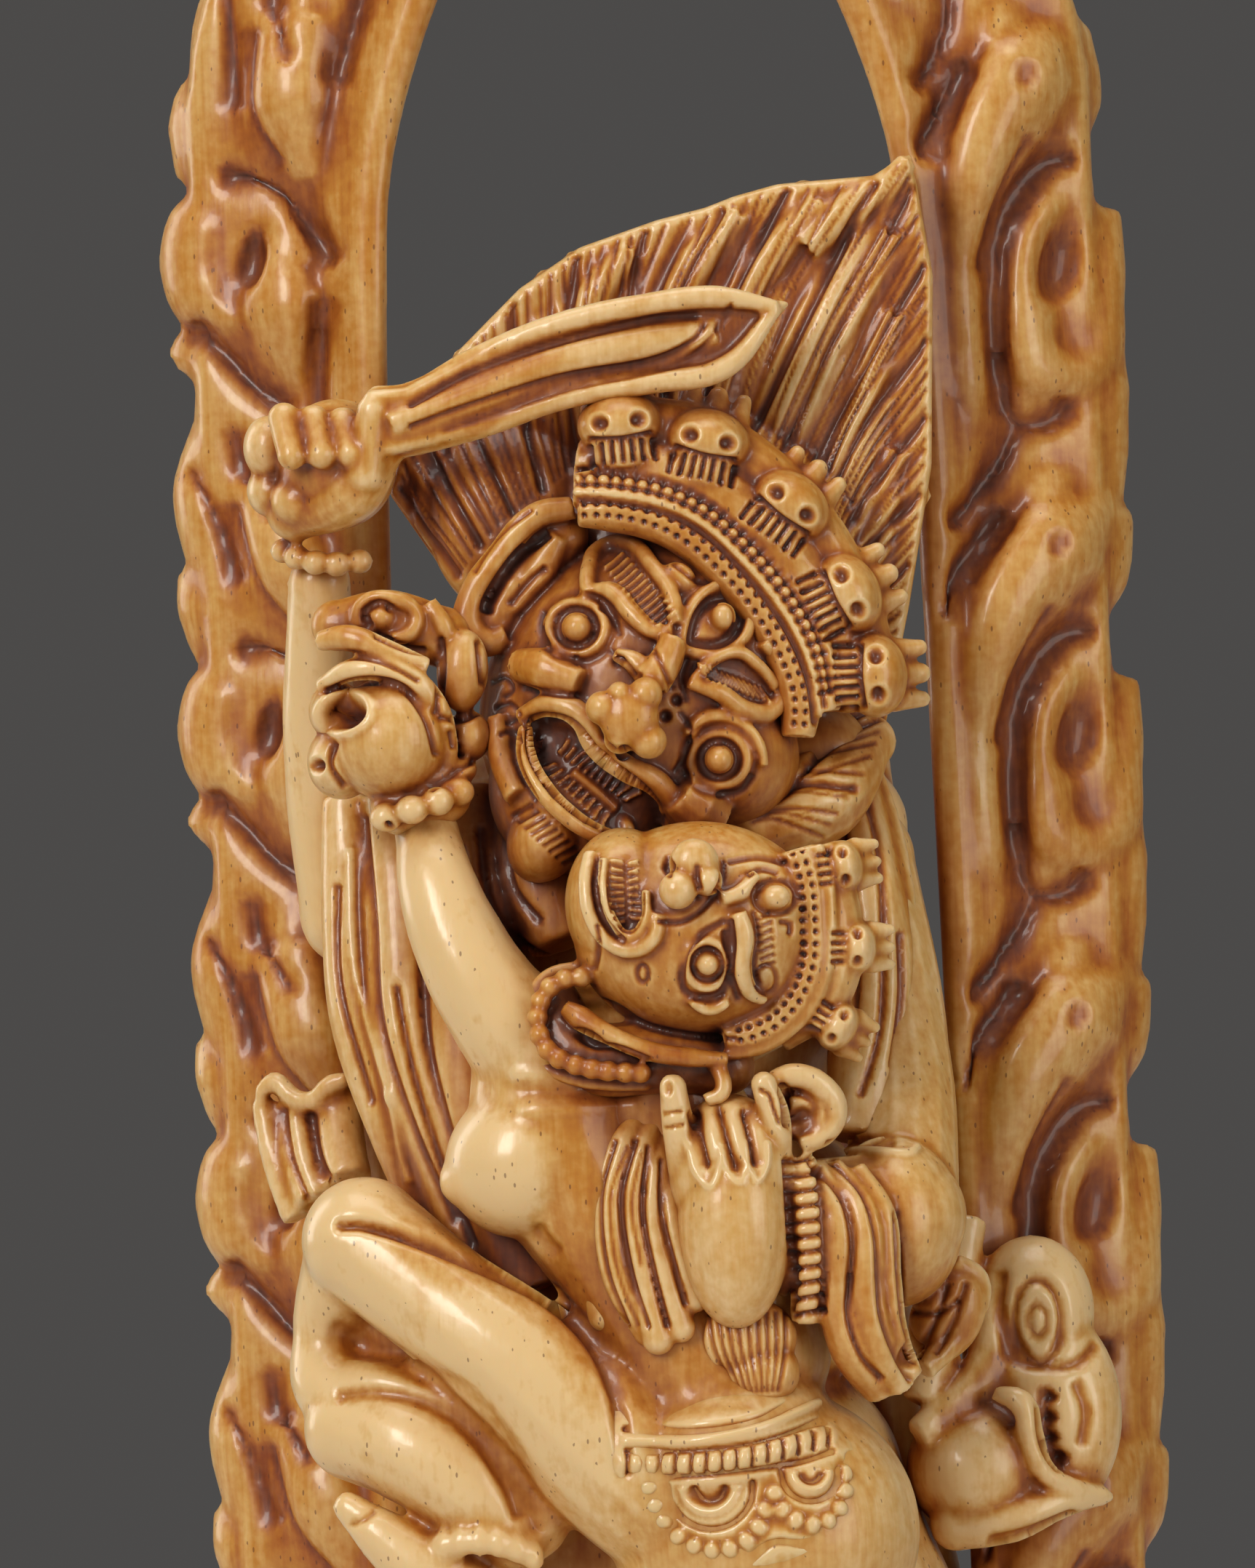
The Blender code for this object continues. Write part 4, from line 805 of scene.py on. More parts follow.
# The deity's crown: a dotted band and a plain one across the brow, and five small skulls
# standing on them, with their teeth over the bands.
DOTTED_BAND = [(-4.4, 111.0), (-2.4, 110.9), (0.2, 110.2), (2.2, 109.0), (3.9, 107.4), (5.4, 105.6),
               (6.6, 103.6), (7.5, 101.6), (8.0, 99.6), (7.8, 97.4)]
PLAIN_BAND = [(-4.6, 112.2), (-2.4, 112.0), (0.6, 111.3), (3.0, 110.0), (5.0, 108.1), (6.8, 105.9),
              (8.2, 103.6), (9.1, 101.2), (9.4, 98.8)]
SKULLS = [(-1.8, 115.9, -49.0), (3.3, 114.7, -30.0), (7.9, 110.8, -6.0), (11.0, 105.6, 21.0),
          (12.4, 100.8, 44.0)]


def leaned(turn):
    """The directions across and up of a form leaned by an angle."""
    lean = math.radians(turn)
    return np.array((math.cos(lean), -math.sin(lean))), np.array((math.sin(lean), math.cos(lean)))


def cut_dots(graver, band, spacing, first):
    """Two rows of dots along a band."""
    rows = smooth_path(band, 0.05)
    walk = np.concatenate(([0.0], np.cumsum(np.linalg.norm(np.diff(rows, axis=0), axis=1))))
    for dot in range(int(walk[-1] / spacing)):
        step = int(np.searchsorted(walk, dot * spacing + first))
        run = rows[min(step + 2, len(rows) - 1)] - rows[max(step - 2, 0)]
        out = np.array((-run[1], run[0])) / np.linalg.norm(run)
        for off in (-0.36, 0.36):
            graver.hollow(rows[step] + out * off, (0.17, 0.17), 0.4, 0.3)


clay = Clay()
clay.strand([(x, -11.2, z) for x, z in DOTTED_BAND], [1.0] + [1.3] * 8 + [1.0])
clay.strand([(x, -10.9, z) for x, z in PLAIN_BAND], [1.0] + [1.4] * 7 + [1.0])
clay.strand([(-4.4, -8.8, 113.6), (0.4, -9.2, 112.9), (4.4, -9.2, 110.6), (8.0, -9.0, 106.8),
             (10.0, -8.8, 102.6), (10.6, -8.4, 99.0)], [1.4, 2.2, 2.4, 2.4, 2.2, 1.4])
clay.strand([(x, -8.6, z) for x, z, _ in SKULLS], [1.9, 1.9, 1.9, 1.8, 1.5])
for x, z, turn in SKULLS:
    across, up = leaned(45.0 + turn)
    clay.lump((x, -9.8, z), (2.45, 2.6, 1.9), (0.0, 45.0 + turn, 0.0))
    clay.lump((x - up[0] * 1.6, -9.6, z - up[1] * 1.6), (2.1, 2.3, 1.7), (0.0, 45.0 + turn, 0.0))
    for side, size in ((-1, 0.9), (0, 1.1), (1, 0.9)):
        start = (x + up[0] * 1.0 + across[0] * side * 1.3, -8.6, z + up[1] * 1.0 + across[1] * side * 1.3)
        end = (x + up[0] * 2.7 + across[0] * side * 1.5, -8.0, z + up[1] * 2.7 + across[1] * side * 1.5)
        clay.limb([start, end], [size, size * 0.55])
crown = clay.knead("deity_crown", grain=0.15, passes=7)
graver = Graver(crown, force=0.7)
cut_dots(graver, DOTTED_BAND, 0.72, 0.3)
graver.line(DOTTED_BAND, 0.12, 0.9, 0.1, fade=0.0)
graver.line([(x * 0.94, z - 0.62) for x, z in PLAIN_BAND], 0.4, 0.16, 0.25, fade=0.0)
graver.line([(x * 0.97, z - 0.2) for x, z in PLAIN_BAND], -0.2, 0.16, -0.1, fade=0.0)
graver.line([(x, z + 0.35) for x, z in PLAIN_BAND], 0.3, 0.16, 0.2, fade=0.0)
graver.line([(x * 1.05, z + 1.2) for x, z in PLAIN_BAND], 0.4, 0.2, 0.25, fade=0.0)
rows = smooth_path([(x * 1.02, z + 0.75) for x, z in PLAIN_BAND], 0.05)
for block in range(0, len(rows) - 4, 15):
    run = rows[block + 3] - rows[block]
    out = np.array((-run[1], run[0])) / np.linalg.norm(run) * 0.45
    graver.line([rows[block] - out, rows[block] + out], 0.4, 0.15, 0.22, fade=0.0)
for x, z, turn in SKULLS:
    across, up = leaned(45.0 + turn)
    middle = np.array((x, z))
    for side in (-1, 1):
        graver.hollow(middle + across * side * 1.15 + up * 0.1, (0.46, 0.46), 0.7, 0.18, rim=0.08)
    graver.line([middle - across * 2.0 - up * 0.75, middle - up * 0.95, middle + across * 2.0 - up * 0.75],
                0.5, 0.16, 0.25)
    for tooth in range(7):
        foot = middle + across * (tooth - 3) * 0.62 - up * 1.05
        graver.line([foot, foot - up * 1.3], 0.5, 0.14, 0.3, fade=0.4)
graver.finish(tone=0.34, hollows=1.0)
place_piece(crown, worn_bone)


# The skull cup that the consort lifts: a smooth round skull seen from its side, with curls
# and leaves cut over its brow and a row of beads at the wrist below it.
clay = Clay()
clay.lump((-15.7, -11.4, 98.2), (3.5, 4.0, 3.6))
clay.lump((-18.6, -10.4, 97.0), (2.0, 2.6, 2.2))
clay.lump((-18.8, -10.2, 100.0), (1.6, 2.8, 1.7))
for points, widths in (([(-19.6, -11.6, 101.4), (-17.4, -13.4, 102.3), (-15.0, -13.6, 101.9),
                         (-13.2, -13.0, 100.2), (-12.5, -12.4, 97.8), (-12.6, -12.0, 95.8)],
                        [0.5, 0.7, 0.8, 0.8, 0.7, 0.5]),
                       ([(-19.6, -11.8, 104.0), (-17.8, -12.8, 104.1), (-15.8, -13.2, 103.2),
                         (-13.4, -13.0, 102.2)], [0.6, 0.8, 0.8, 0.6]),
                       ([(-17.4, -11.2, 104.8), (-17.0, -11.4, 106.0), (-15.4, -11.8, 106.3),
                         (-14.0, -11.6, 105.4), (-14.2, -11.8, 104.4), (-15.4, -12.0, 103.9)],
                        [0.5, 0.5, 0.5, 0.5, 0.5, 0.4]),
                       ([(-13.2, -11.2, 106.0), (-12.4, -11.4, 104.6), (-12.0, -11.0, 103.2)],
                        [0.5, 0.6, 0.5])):
    clay.strand(points, widths)
clay.lump((-16.0, -11.4, 105.2), (0.9, 1.0, 0.8))
clay.limb([(-18.6, -9.4, 104.9), (-15.6, -9.9, 104.9), (-12.6, -9.8, 104.0)], [1.5, 2.0, 1.8])
clay.lump((-11.4, -11.0, 102.0), (1.5, 1.6, 2.4), (0.0, 6.0, 0.0))
clay.lump((-11.2, -10.4, 98.2), (1.3, 1.6, 1.5))
clay.lump((-12.2, -11.2, 96.0), (1.5, 1.5, 0.9), (0.0, -20.0, 0.0))
clay.beads([(-16.1, -13.4, 93.7), (-14.5, -14.0, 94.1), (-13.1, -13.6, 94.5), (-11.9, -12.6, 95.0)], 4,
           (0.95, 0.95, 0.85))
clay.limb([(-15.2, -11.6, 94.4), (-13.0, -11.4, 95.0)], [1.8, 1.9])
skull_cup = clay.knead("skull_cup", grain=0.16)
graver = Graver(skull_cup)
graver.hollow((-18.3, 99.8), (1.15, 0.85), 1.5, 0.24, turn=-10.0, rim=0.3)
graver.hollow((-20.0, 96.8), (0.4, 0.4), 0.7, 0.3)
graver.hollow((-15.9, 93.2), (0.3, 0.22), 0.5, 0.35, turn=30.0)
for points in ([(-19.9, 102.6), (-18.0, 103.1), (-16.0, 102.7), (-13.8, 101.4)],
               [(-19.4, 101.0), (-17.2, 101.6), (-15.0, 101.2), (-13.6, 99.4), (-13.0, 97.0)],
               [(-12.6, 104.0), (-12.6, 101.8), (-13.0, 99.4)], [(-10.4, 103.8), (-10.2, 101.0)],
               [(-12.9, 99.3), (-11.6, 99.2), (-10.2, 99.8)],
               [(-13.6, 95.2), (-12.0, 96.2), (-10.8, 96.8)],
               [(-16.6, 104.6), (-16.9, 105.6), (-16.0, 106.1), (-15.2, 105.6)],
               [(-12.0, 97.4), (-12.2, 98.6)], [(-13.4, 103.2), (-14.6, 103.4), (-16.4, 104.3)],
               [(-18.9, 98.2), (-19.2, 96.8), (-18.4, 95.4)]):
    graver.line(points, 0.32, 0.2, 0.26)
graver.wash((-15.6, 105.4), (5.0, 2.2), 0.3)
graver.wash((-11.6, 99.0), (2.0, 5.0), 0.2)
graver.finish(tone=0.23)
place_piece(skull_cup, worn_bone)


# The consort, back turned: a smooth polished body with one arm raised, one leg wrapped round
# the deity's side and one straight down beside the skirts.
clay = Clay()
clay.limb([(-13.8, -11.0, 92.6), (-13.3, -12.6, 89.6), (-12.2, -13.4, 86.4), (-10.4, -13.6, 83.0),
           (-7.6, -13.0, 79.6)], [1.9, 2.35, 2.75, 3.1, 4.0])
clay.limb([(-7.0, -12.0, 79.2), (-6.8, -12.4, 75.0), (-3.4, -12.6, 68.0), (0.4, -12.6, 61.0),
           (2.4, -12.4, 56.0)], [4.8, 5.2, 4.4, 4.6, 6.6])
clay.limb([(-1.0, -11.6, 76.0), (2.0, -11.6, 70.0), (4.0, -11.6, 62.0)], [5.0, 5.0, 4.4])
clay.lump((-8.6, -13.2, 73.7), (5.0, 4.6, 4.5), (0.0, -24.0, 0.0))
clay.lump((-12.2, -13.4, 72.6), (1.7, 1.6, 1.6))
clay.lump((4.2, -12.0, 51.6), (8.9, 7.6, 8.4))
clay.lump((2.2, -12.6, 56.4), (6.4, 7.0, 4.6))
clay.limb([(2.0, -12.4, 52.6), (-4.4, -13.4, 56.8), (-9.4, -13.8, 61.8), (-14.0, -12.6, 65.6),
           (-18.3, -10.6, 69.3)], [6.0, 5.0, 4.1, 3.6, 3.7])
clay.limb([(-18.8, -9.0, 68.4), (-20.6, -7.6, 63.4), (-20.2, -8.8, 60.6), (-16.6, -10.8, 59.9),
           (-12.6, -11.8, 57.0), (-9.6, -12.0, 53.0)], [3.2, 2.2, 2.5, 2.6, 2.7, 2.6])
clay.limb([(-19.2, -9.6, 58.4), (-16.0, -11.8, 57.2), (-12.8, -12.6, 54.8), (-10.2, -12.4, 52.4)],
          [3.1, 3.3, 3.0, 2.4])
clay.lump((-14.6, -7.4, 62.4), (5.4, 3.4, 3.4), (0.0, 30.0, 0.0))
clay.limb([(-19.8, -12.4, 54.0), (-17.9, -12.8, 52.3), (-14.8, -12.6, 49.6), (-10.0, -10.0, 45.0)],
          [0.95, 1.6, 2.5, 3.0])
clay.beads([(-14.4, -14.4, 51.7), (-12.6, -15.0, 51.9), (-10.8, -15.0, 51.6), (-9.2, -14.4, 50.8)], 6,
           (0.62, 0.8, 0.95))
clay.limb([(4.0, -12.0, 50.0), (7.6, -11.5, 38.0), (9.2, -11.0, 27.0), (9.8, -11.0, 17.5)],
          [6.8, 5.0, 4.2, 2.8])
clay.limb([(9.8, -11.5, 16.4), (10.6, -16.5, 15.4)], [2.6, 2.0])
clay.limb([(-4.0, -12.0, 80.0), (0.0, -11.0, 82.0)], [3.6, 3.6])
clay.limb([(0.0, -9.0, 80.5), (7.5, -7.0, 84.0), (10.0, -4.0, 88.0)], [3.6, 3.0, 2.6])
consort = clay.knead("consort_body", grain=0.28, passes=10)
graver = Graver(consort)
graver.line([(-20.0, 70.3), (-18.0, 70.2), (-15.0, 69.2), (-12.0, 67.9), (-9.0, 66.4), (-7.0, 65.2)],
            0.8, 0.3, 0.35)
graver.line([(-8.0, 66.2), (-5.6, 63.6), (-4.4, 61.2), (-3.9, 58.6), (-3.8, 55.4)], 0.7, 0.4, 0.4)
# Painted shade along the crease where the thigh meets the body: a dark patch at its foot and a wide dark
# band that cuts nothing.
graver.wash((-5.4, 66.0), (2.0, 4.4), 0.4, -24.0)
graver.line([(-17.0, 69.6), (-12.0, 67.6), (-7.4, 65.0), (-4.8, 61.6)], 0.0, 1.3, 0.3)
graver.line([(-20.4, 60.4), (-18.0, 60.6), (-15.2, 60.0), (-12.6, 58.2), (-10.8, 55.4), (-9.9, 53.0)],
            0.35, 0.4, 0.16)
graver.line([(-20.6, 64.6), (-18.6, 63.2), (-15.6, 61.8), (-12.8, 60.6), (-10.8, 58.0), (-9.6, 54.8),
             (-8.8, 52.0)], 0.3, 0.7, 0.08)
graver.line([(-19.9, 53.1), (-19.0, 53.3), (-18.2, 53.9)], 0.25, 0.2, 0.2)
graver.line([(-9.6, 78.7), (-6.0, 78.5), (-1.6, 78.3)], -0.22, 0.45, 0.0)
graver.line([(-9.4, 76.6), (-6.0, 76.6), (-2.0, 76.6)], -0.22, 0.45, 0.0)
graver.line([(-9.0, 77.7), (-6.0, 77.6), (-2.0, 77.4)], 0.15, 0.4, 0.02)
graver.line([(-8.4, 70.0), (-7.8, 68.9), (-7.0, 68.2)], 0.3, 0.4, 0.2)
# The belly under the pouch, the side of the body beside the scarf ends and the top of the chest are
# darkened.
graver.wash((-1.0, 60.8), (4.4, 3.6), 0.42)
graver.wash((-4.6, 70.4), (3.2, 7.0), 0.42, -14.0)
graver.wash((-3.0, 77.2), (6.0, 2.4), 0.5)
# Painted shade: the hip, which turns away from the key light at the left, is darkened over its whole round.
graver.wash((5.0, 52.0), (9.0, 6.0), 0.16)
graver.wash((2.8, 54.6), (8.4, 5.4), 0.14)
graver.finish(tone=0.05, hollows=0.6)
place_piece(consort, worn_bone)


# The consort's head, thrown back to the right with the face up to the deity's, and its own
# small crown and necklace.
CONSORT_EGGS = [((1.6, -15.4, 86.6), (7.2, 5.4, 6.2)), ((-2.6, -15.4, 88.2), (3.4, 4.8, 4.4))]


def on_consort(points, rise):
    return laid(CONSORT_EGGS, points, rise, 0.0)


clay = Clay()
for place, size in CONSORT_EGGS:
    clay.lump(place, size)
for x, z, size, rise in ((1.5, 90.4, 1.45, 1.1), (0.5, 88.9, 1.1, 1.1), (2.2, 89.4, 0.9, 0.8)):
    clay.lump(on_consort([(x, z)], rise)[0], (size, 1.1, size))
for points, widths, rise in (([(-4.4, 91.2), (-4.7, 89.4), (-4.4, 87.4), (-3.4, 86.0), (-2.2, 85.6),
                               (-1.0, 86.2), (-0.6, 87.6)], [0.45, 0.5, 0.5, 0.5, 0.5, 0.45, 0.4], 0.3),
                             ([(-3.7, 90.9), (-3.7, 89.0), (-3.2, 87.2), (-2.4, 86.4), (-1.5, 87.2),
                               (-1.3, 89.0)], [0.3, 0.32, 0.32, 0.32, 0.3, 0.3], 0.5),
                             ([(3.9, 87.5), (4.2, 86.2), (4.0, 84.4), (4.4, 83.0), (5.2, 82.4)],
                              [0.5, 0.6, 0.6, 0.5, 0.35], 0.35),
                             ([(3.0, 88.3), (4.2, 88.7), (5.0, 89.6)], [0.4, 0.5, 0.4], 0.3),
                             ([(1.0, 82.5), (2.1, 82.0), (3.2, 82.4)], [0.3, 0.4, 0.3], 0.3)):
    clay.strand(on_consort(points, rise), widths)
rim = loop((2.0, 84.6), 1.15, 1.35)
clay.strand(on_consort(rim, 0.1), [0.3] * len(rim), closed=True)
clay.lump(on_consort([(2.05, 84.6)], 0.35)[0], (0.62, 0.8, 0.62))
clay.lump(on_consort([(6.1, 88.3)], 0.3)[0], (0.85, 0.8, 0.7))
HEAD_BAND = [(7.4, 91.0), (7.9, 89.0), (8.0, 87.0), (7.9, 84.8), (7.2, 82.8), (5.9, 81.3), (4.4, 80.6),
             (2.8, 80.3)]
HEAD_RIM = [(8.6, 91.2), (9.05, 88.8), (9.1, 86.4), (8.8, 84.2), (8.0, 82.2), (6.6, 80.7), (4.8, 79.7),
            (2.8, 79.3)]
clay.strand([(x, -17.2, z) for x, z in HEAD_BAND], [1.0] + [1.15] * 6 + [0.8])
clay.strand([(x, -17.4, z) for x, z in HEAD_RIM], [0.4] + [0.5] * 6 + [0.35])
clay.strand([(8.2, -15.6, 91.0), (9.2, -15.6, 87.0), (8.6, -15.6, 83.0), (5.6, -15.6, 80.4)],
            [1.6, 1.9, 1.9, 1.4])
CONSORT_SKULLS = [(10.1, 89.9, 84.0), (10.7, 85.2, 92.0), (9.4, 80.7, 122.0)]
for x, z, turn in CONSORT_SKULLS:
    across, up = leaned(turn)
    clay.lump((x, -15.8, z), (1.5, 2.0, 1.1), (0.0, turn, 0.0))
    clay.lump((x - up[0] * 1.1, -15.8, z - up[1] * 1.1), (1.2, 1.8, 1.1), (0.0, turn, 0.0))
    for side in (-1, 0, 1):
        start = (x + up[0] * 0.8 + across[0] * side * 0.9, -15.2, z + up[1] * 0.8 + across[1] * side * 0.9)
        end = (x + up[0] * 1.9 + across[0] * side * 1.0, -14.8, z + up[1] * 1.9 + across[1] * side * 1.0)
        clay.limb([start, end], [0.65, 0.35])
clay.beads([(-5.2, -17.0, 84.1), (-6.6, -17.0, 83.9), (-7.6, -17.0, 82.8), (-7.8, -17.4, 81.2),
            (-7.2, -17.8, 79.9), (-6.0, -18.2, 79.2), (-4.6, -18.4, 78.8), (-3.2, -18.4, 78.6),
            (-2.0, -18.2, 78.5)], 13, (0.62, 0.7, 0.62))
clay.strand([(-5.2, -15.2, 84.7), (-7.2, -15.2, 84.2), (-8.3, -15.6, 82.6), (-8.4, -16.0, 80.8),
             (-7.6, -16.6, 79.1), (-6.0, -17.0, 78.3), (-3.8, -17.2, 77.9), (-1.6, -17.0, 77.8)],
            [0.4] * 8)
clay.strand([(-6.2, -17.2, 82.4), (-5.4, -17.6, 81.8), (-3.8, -18.2, 80.8), (-1.6, -18.6, 79.8),
             (0.8, -18.6, 79.3), (3.0, -18.2, 79.1)], [0.5, 0.75, 0.6, 0.6, 0.6, 0.4])
clay.limb([(-7.0, -14.6, 82.4), (-5.6, -15.4, 79.8), (-1.0, -15.6, 79.2), (3.0, -15.4, 78.6)],
          [1.8, 2.2, 2.2, 1.6])
clay.strand([(2.0, -17.6, 79.2), (2.6, -18.2, 78.2), (2.6, -18.4, 77.2), (1.6, -18.4, 76.8)],
            [0.5, 0.5, 0.5, 0.4])
consort_head = clay.knead("consort_head", grain=0.15, passes=7)
graver = Graver(consort_head, force=0.75)
graver.hollow((-2.45, 88.8), (0.95, 2.1), 0.7, 0.25)
graver.ticks((-2.9, 90.7), (-2.9, 87.2), 9, 0.75, 90.0, -0.32, 0.12, -0.16)
graver.ticks((-2.0, 90.6), (-2.0, 87.4), 8, 0.65, 90.0, -0.32, 0.12, -0.16)
graver.line([(3.0, 87.0), (1.7, 86.3), (0.8, 85.0), (0.5, 83.8), (0.9, 82.9), (2.2, 82.7), (3.0, 83.2),
             (3.3, 84.6), (3.1, 86.4)], 0.34, 0.2, 0.28, fade=0.0)
graver.line(loop((2.05, 84.6), 0.85, 0.9) + [(2.9, 84.6)], 0.22, 0.13, 0.14, fade=0.0)
graver.ticks((5.4, 87.2), (5.5, 84.4), 7, 1.0, 70.0, 0.22, 0.13, 0.16)
graver.line(loop((5.4, 83.6), 0.6, 0.8) + [(6.0, 83.6)], 0.22, 0.15, 0.2, fade=0.0)
graver.line(loop((6.1, 88.3), 1.25, 1.0) + [(7.3, 88.3)], 0.3, 0.17, 0.2, fade=0.0)
graver.line(loop((-1.7, 84.2), 0.32, 0.5) + [(-1.4, 84.2)], 0.25, 0.14, 0.26, fade=0.0)
for points in ([(-0.8, 87.2), (0.6, 87.1), (1.9, 87.8), (3.0, 89.2), (3.2, 90.6)],
               [(1.7, 90.4), (1.6, 89.6), (1.8, 88.8)], [(0.1, 90.9), (-0.2, 90.2), (0.2, 89.7)],
               [(3.4, 87.2), (3.5, 85.6), (3.3, 84.0), (3.8, 82.4)],
               [(4.8, 87.6), (5.0, 86.0), (4.7, 84.4), (5.0, 83.2)],
               [(3.4, 90.4), (5.2, 90.6), (6.8, 90.2)], [(4.4, 89.6), (5.4, 89.9), (6.4, 89.6)],
               [(6.2, 86.9), (6.9, 86.7), (6.8, 86.0)], [(-4.1, 87.2), (-4.2, 85.6), (-4.5, 84.4)],
               [(-3.9, 91.0), (-4.2, 89.2), (-3.8, 87.4), (-2.6, 86.0)],
               [(-5.4, 83.0), (-3.4, 82.4), (-1.6, 81.2), (1.0, 80.5), (3.6, 80.2)],
               [(-5.6, 81.0), (-4.6, 80.2), (-3.2, 80.0), (-1.4, 79.2)]):
    graver.line(points, 0.3, 0.17, 0.26)
graver.hollow((-4.9, 80.6), (0.9, 0.4), 0.5, 0.3, turn=30.0)
graver.wash((-6.4, 81.0), (2.6, 3.6), 0.35)
graver.wash((-1.0, 78.8), (5.0, 1.6), 0.35)
graver.hollow((0.1, 90.3), (0.3, 0.3), 0.4, 0.3)
cut_dots(graver, HEAD_BAND, 0.66, 0.2)
graver.line(HEAD_BAND, 0.1, 0.8, 0.08, fade=0.0)
for x, z, turn in CONSORT_SKULLS:
    across, up = leaned(turn)
    middle = np.array((x, z))
    for side in (-1, 1):
        graver.hollow(middle + across * side * 0.8, (0.3, 0.3), 0.5, 0.2, rim=0.05)
    for tooth in range(4):
        foot = middle + across * (tooth - 1.5) * 0.55 - up * 0.7
        graver.line([foot, foot - up * 0.8], 0.35, 0.13, 0.3, fade=0.4)
graver.finish(tone=0.27)
place_piece(consort_head, worn_bone)


# The deity's left arm and hand, raised between the two: the folded fingers, the cup of horn,
# a bracelet of flat blocks, and the scarf that falls from it in overlapping bands.
clay = Clay()
clay.limb([(10.5, -1.0, 90.0), (13.0, -5.0, 79.0), (12.8, -9.5, 69.5)], [4.0, 3.0, 3.4])
clay.lump((12.2, -10.6, 69.2), (4.1, 4.7, 5.0))
clay.limb([(12.6, -11.0, 69.5), (6.0, -14.0, 69.0)], [3.9, 4.0])
clay.lump((3.0, -17.4, 69.6), (3.25, 3.2, 6.0))
clay.lump((2.95, -17.1, 72.6), (3.6, 3.0, 4.5))
clay.limb([(0.5, -17.6, 73.0), (0.0, -18.6, 75.6), (-0.2, -18.9, 77.6)], [1.2, 0.95, 0.8])
clay.limb([(5.4, -17.4, 73.0), (5.5, -18.4, 75.8), (5.0, -18.8, 77.6)], [1.1, 0.95, 0.75])
clay.lump((7.3, -16.2, 75.9), (1.8, 1.6, 1.8), (0.0, 30.0, 0.0))
clay.strand([(5.4, -17.8, 77.7), (6.8, -17.6, 78.0), (8.4, -17.2, 77.2), (9.0, -16.8, 75.9),
             (8.3, -16.8, 74.6), (6.9, -17.0, 74.1)], [0.6, 0.75, 0.8, 0.8, 0.75, 0.6])
clay.strand([(7.0, -16.6, 73.2), (7.2, -17.2, 70.4), (7.2, -17.0, 66.8), (6.9, -16.0, 63.9)],
            [0.9, 1.1, 1.1, 0.9])
for points, widths in (([(7.6, -15.6, 72.8), (8.9, -16.4, 69.4), (8.8, -16.2, 65.4), (9.6, -15.6, 62.2),
                         (11.2, -14.0, 59.6)], [0.8, 1.2, 1.2, 1.4, 1.1]),
                       ([(8.8, -15.2, 72.8), (10.4, -16.4, 69.6), (10.4, -16.4, 65.4),
                         (11.0, -15.8, 62.2), (12.3, -14.4, 59.8)], [0.6, 1.0, 1.1, 1.1, 0.9]),
                       ([(10.2, -15.0, 72.6), (11.6, -15.8, 69.8), (11.8, -15.8, 66.0),
                         (12.1, -15.2, 62.8), (13.0, -14.2, 60.4)], [0.5, 0.75, 0.75, 0.75, 0.6]),
                       ([(15.6, -8.0, 66.6), (17.0, -7.6, 65.4), (16.0, -8.2, 62.8), (13.6, -9.8, 60.6)],
                        [0.7, 0.8, 0.8, 0.8])):
    clay.strand(points, widths)
clay.lump((15.2, -8.0, 63.6), (2.1, 1.5, 2.9), (0.0, 28.0, 0.0))
hand = clay.knead("raised_arm_and_hand", grain=0.18)
graver = Graver(hand)
for points in ([(1.0, 76.4), (1.2, 74.6), (1.6, 72.9)], [(2.3, 76.6), (2.8, 74.4), (3.3, 72.7)],
               [(3.8, 76.4), (4.2, 74.4), (4.4, 72.8)]):
    graver.line(points, 0.35, 0.4, 0.2)
    graver.line(points, 0.3, 0.13, 0.14)
graver.line([(0.5, 74.6), (0.9, 72.8), (1.7, 71.9), (2.3, 73.0), (2.5, 74.4)], -0.14, 0.18, -0.12)
graver.line([(2.5, 74.0), (2.8, 72.6), (3.5, 72.1), (3.9, 73.2), (3.9, 74.6)], -0.14, 0.18, -0.12)
graver.line([(3.9, 73.2), (4.4, 72.1), (5.0, 73.0), (5.1, 74.4)], -0.14, 0.18, -0.12)
graver.ticks((-0.25, 76.2), (-0.2, 75.4), 2, 1.3, 84.0, 0.2, 0.12, 0.2)
graver.hollow((-0.45, 77.6), (0.28, 0.45), 0.18, 0.05, rim=0.08)
graver.line([(4.6, 77.3), (5.3, 77.0), (5.5, 76.2), (5.9, 75.2)], 0.3, 0.15, 0.28)
graver.line([(6.1, 77.6), (6.2, 76.2), (6.3, 75.0)], 0.4, 0.2, 0.3)
graver.hollow((7.1, 75.6), (0.9, 0.7), 0.8, 0.36, turn=-14.0)
graver.line([(5.8, 77.1), (7.2, 76.9), (8.0, 76.0), (7.7, 75.0), (6.7, 74.6)], 0.25, 0.2, 0.16)
graver.ticks((7.2, 73.2), (7.1, 64.3), 11, 2.0, 84.0, 0.4, 0.15, 0.3)
graver.line([(6.15, 73.4), (6.25, 70.0), (6.3, 66.6), (6.0, 64.4)], 0.4, 0.2, 0.26)
for points in ([(8.0, 72.8), (8.2, 70.0), (8.15, 66.6), (7.8, 64.2)],
               [(7.4, 73.1), (9.2, 71.0), (9.75, 68.6), (9.5, 66.0), (9.35, 64.0), (10.0, 61.8),
                (11.2, 60.2)],
               [(8.6, 73.1), (10.4, 71.2), (11.1, 68.8), (11.2, 66.0), (11.3, 64.0), (12.0, 61.8),
                (12.9, 60.0)], [(12.35, 70.0), (12.4, 66.4), (12.6, 63.6), (13.3, 61.4)],
               [(12.6, 64.0), (14.6, 63.8), (16.0, 64.6)]):
    graver.line(points, 0.34, 0.17, 0.24)
graver.line([(9.0, 73.3), (11.2, 73.4), (13.2, 73.2), (13.9, 73.6)], -0.25, 0.22, -0.06)
graver.line([(8.4, 73.9), (10.4, 74.0), (12.6, 73.9)], 0.35, 0.25, 0.3)
graver.wash((15.0, 63.4), (2.4, 3.2), 0.42, 28.0)
for across in (-0.6, 0.5):
    graver.line([(15.9 + across, 65.6), (15.0 + across, 63.2), (13.9 + across, 61.4)], 0.3, 0.2, 0.2)
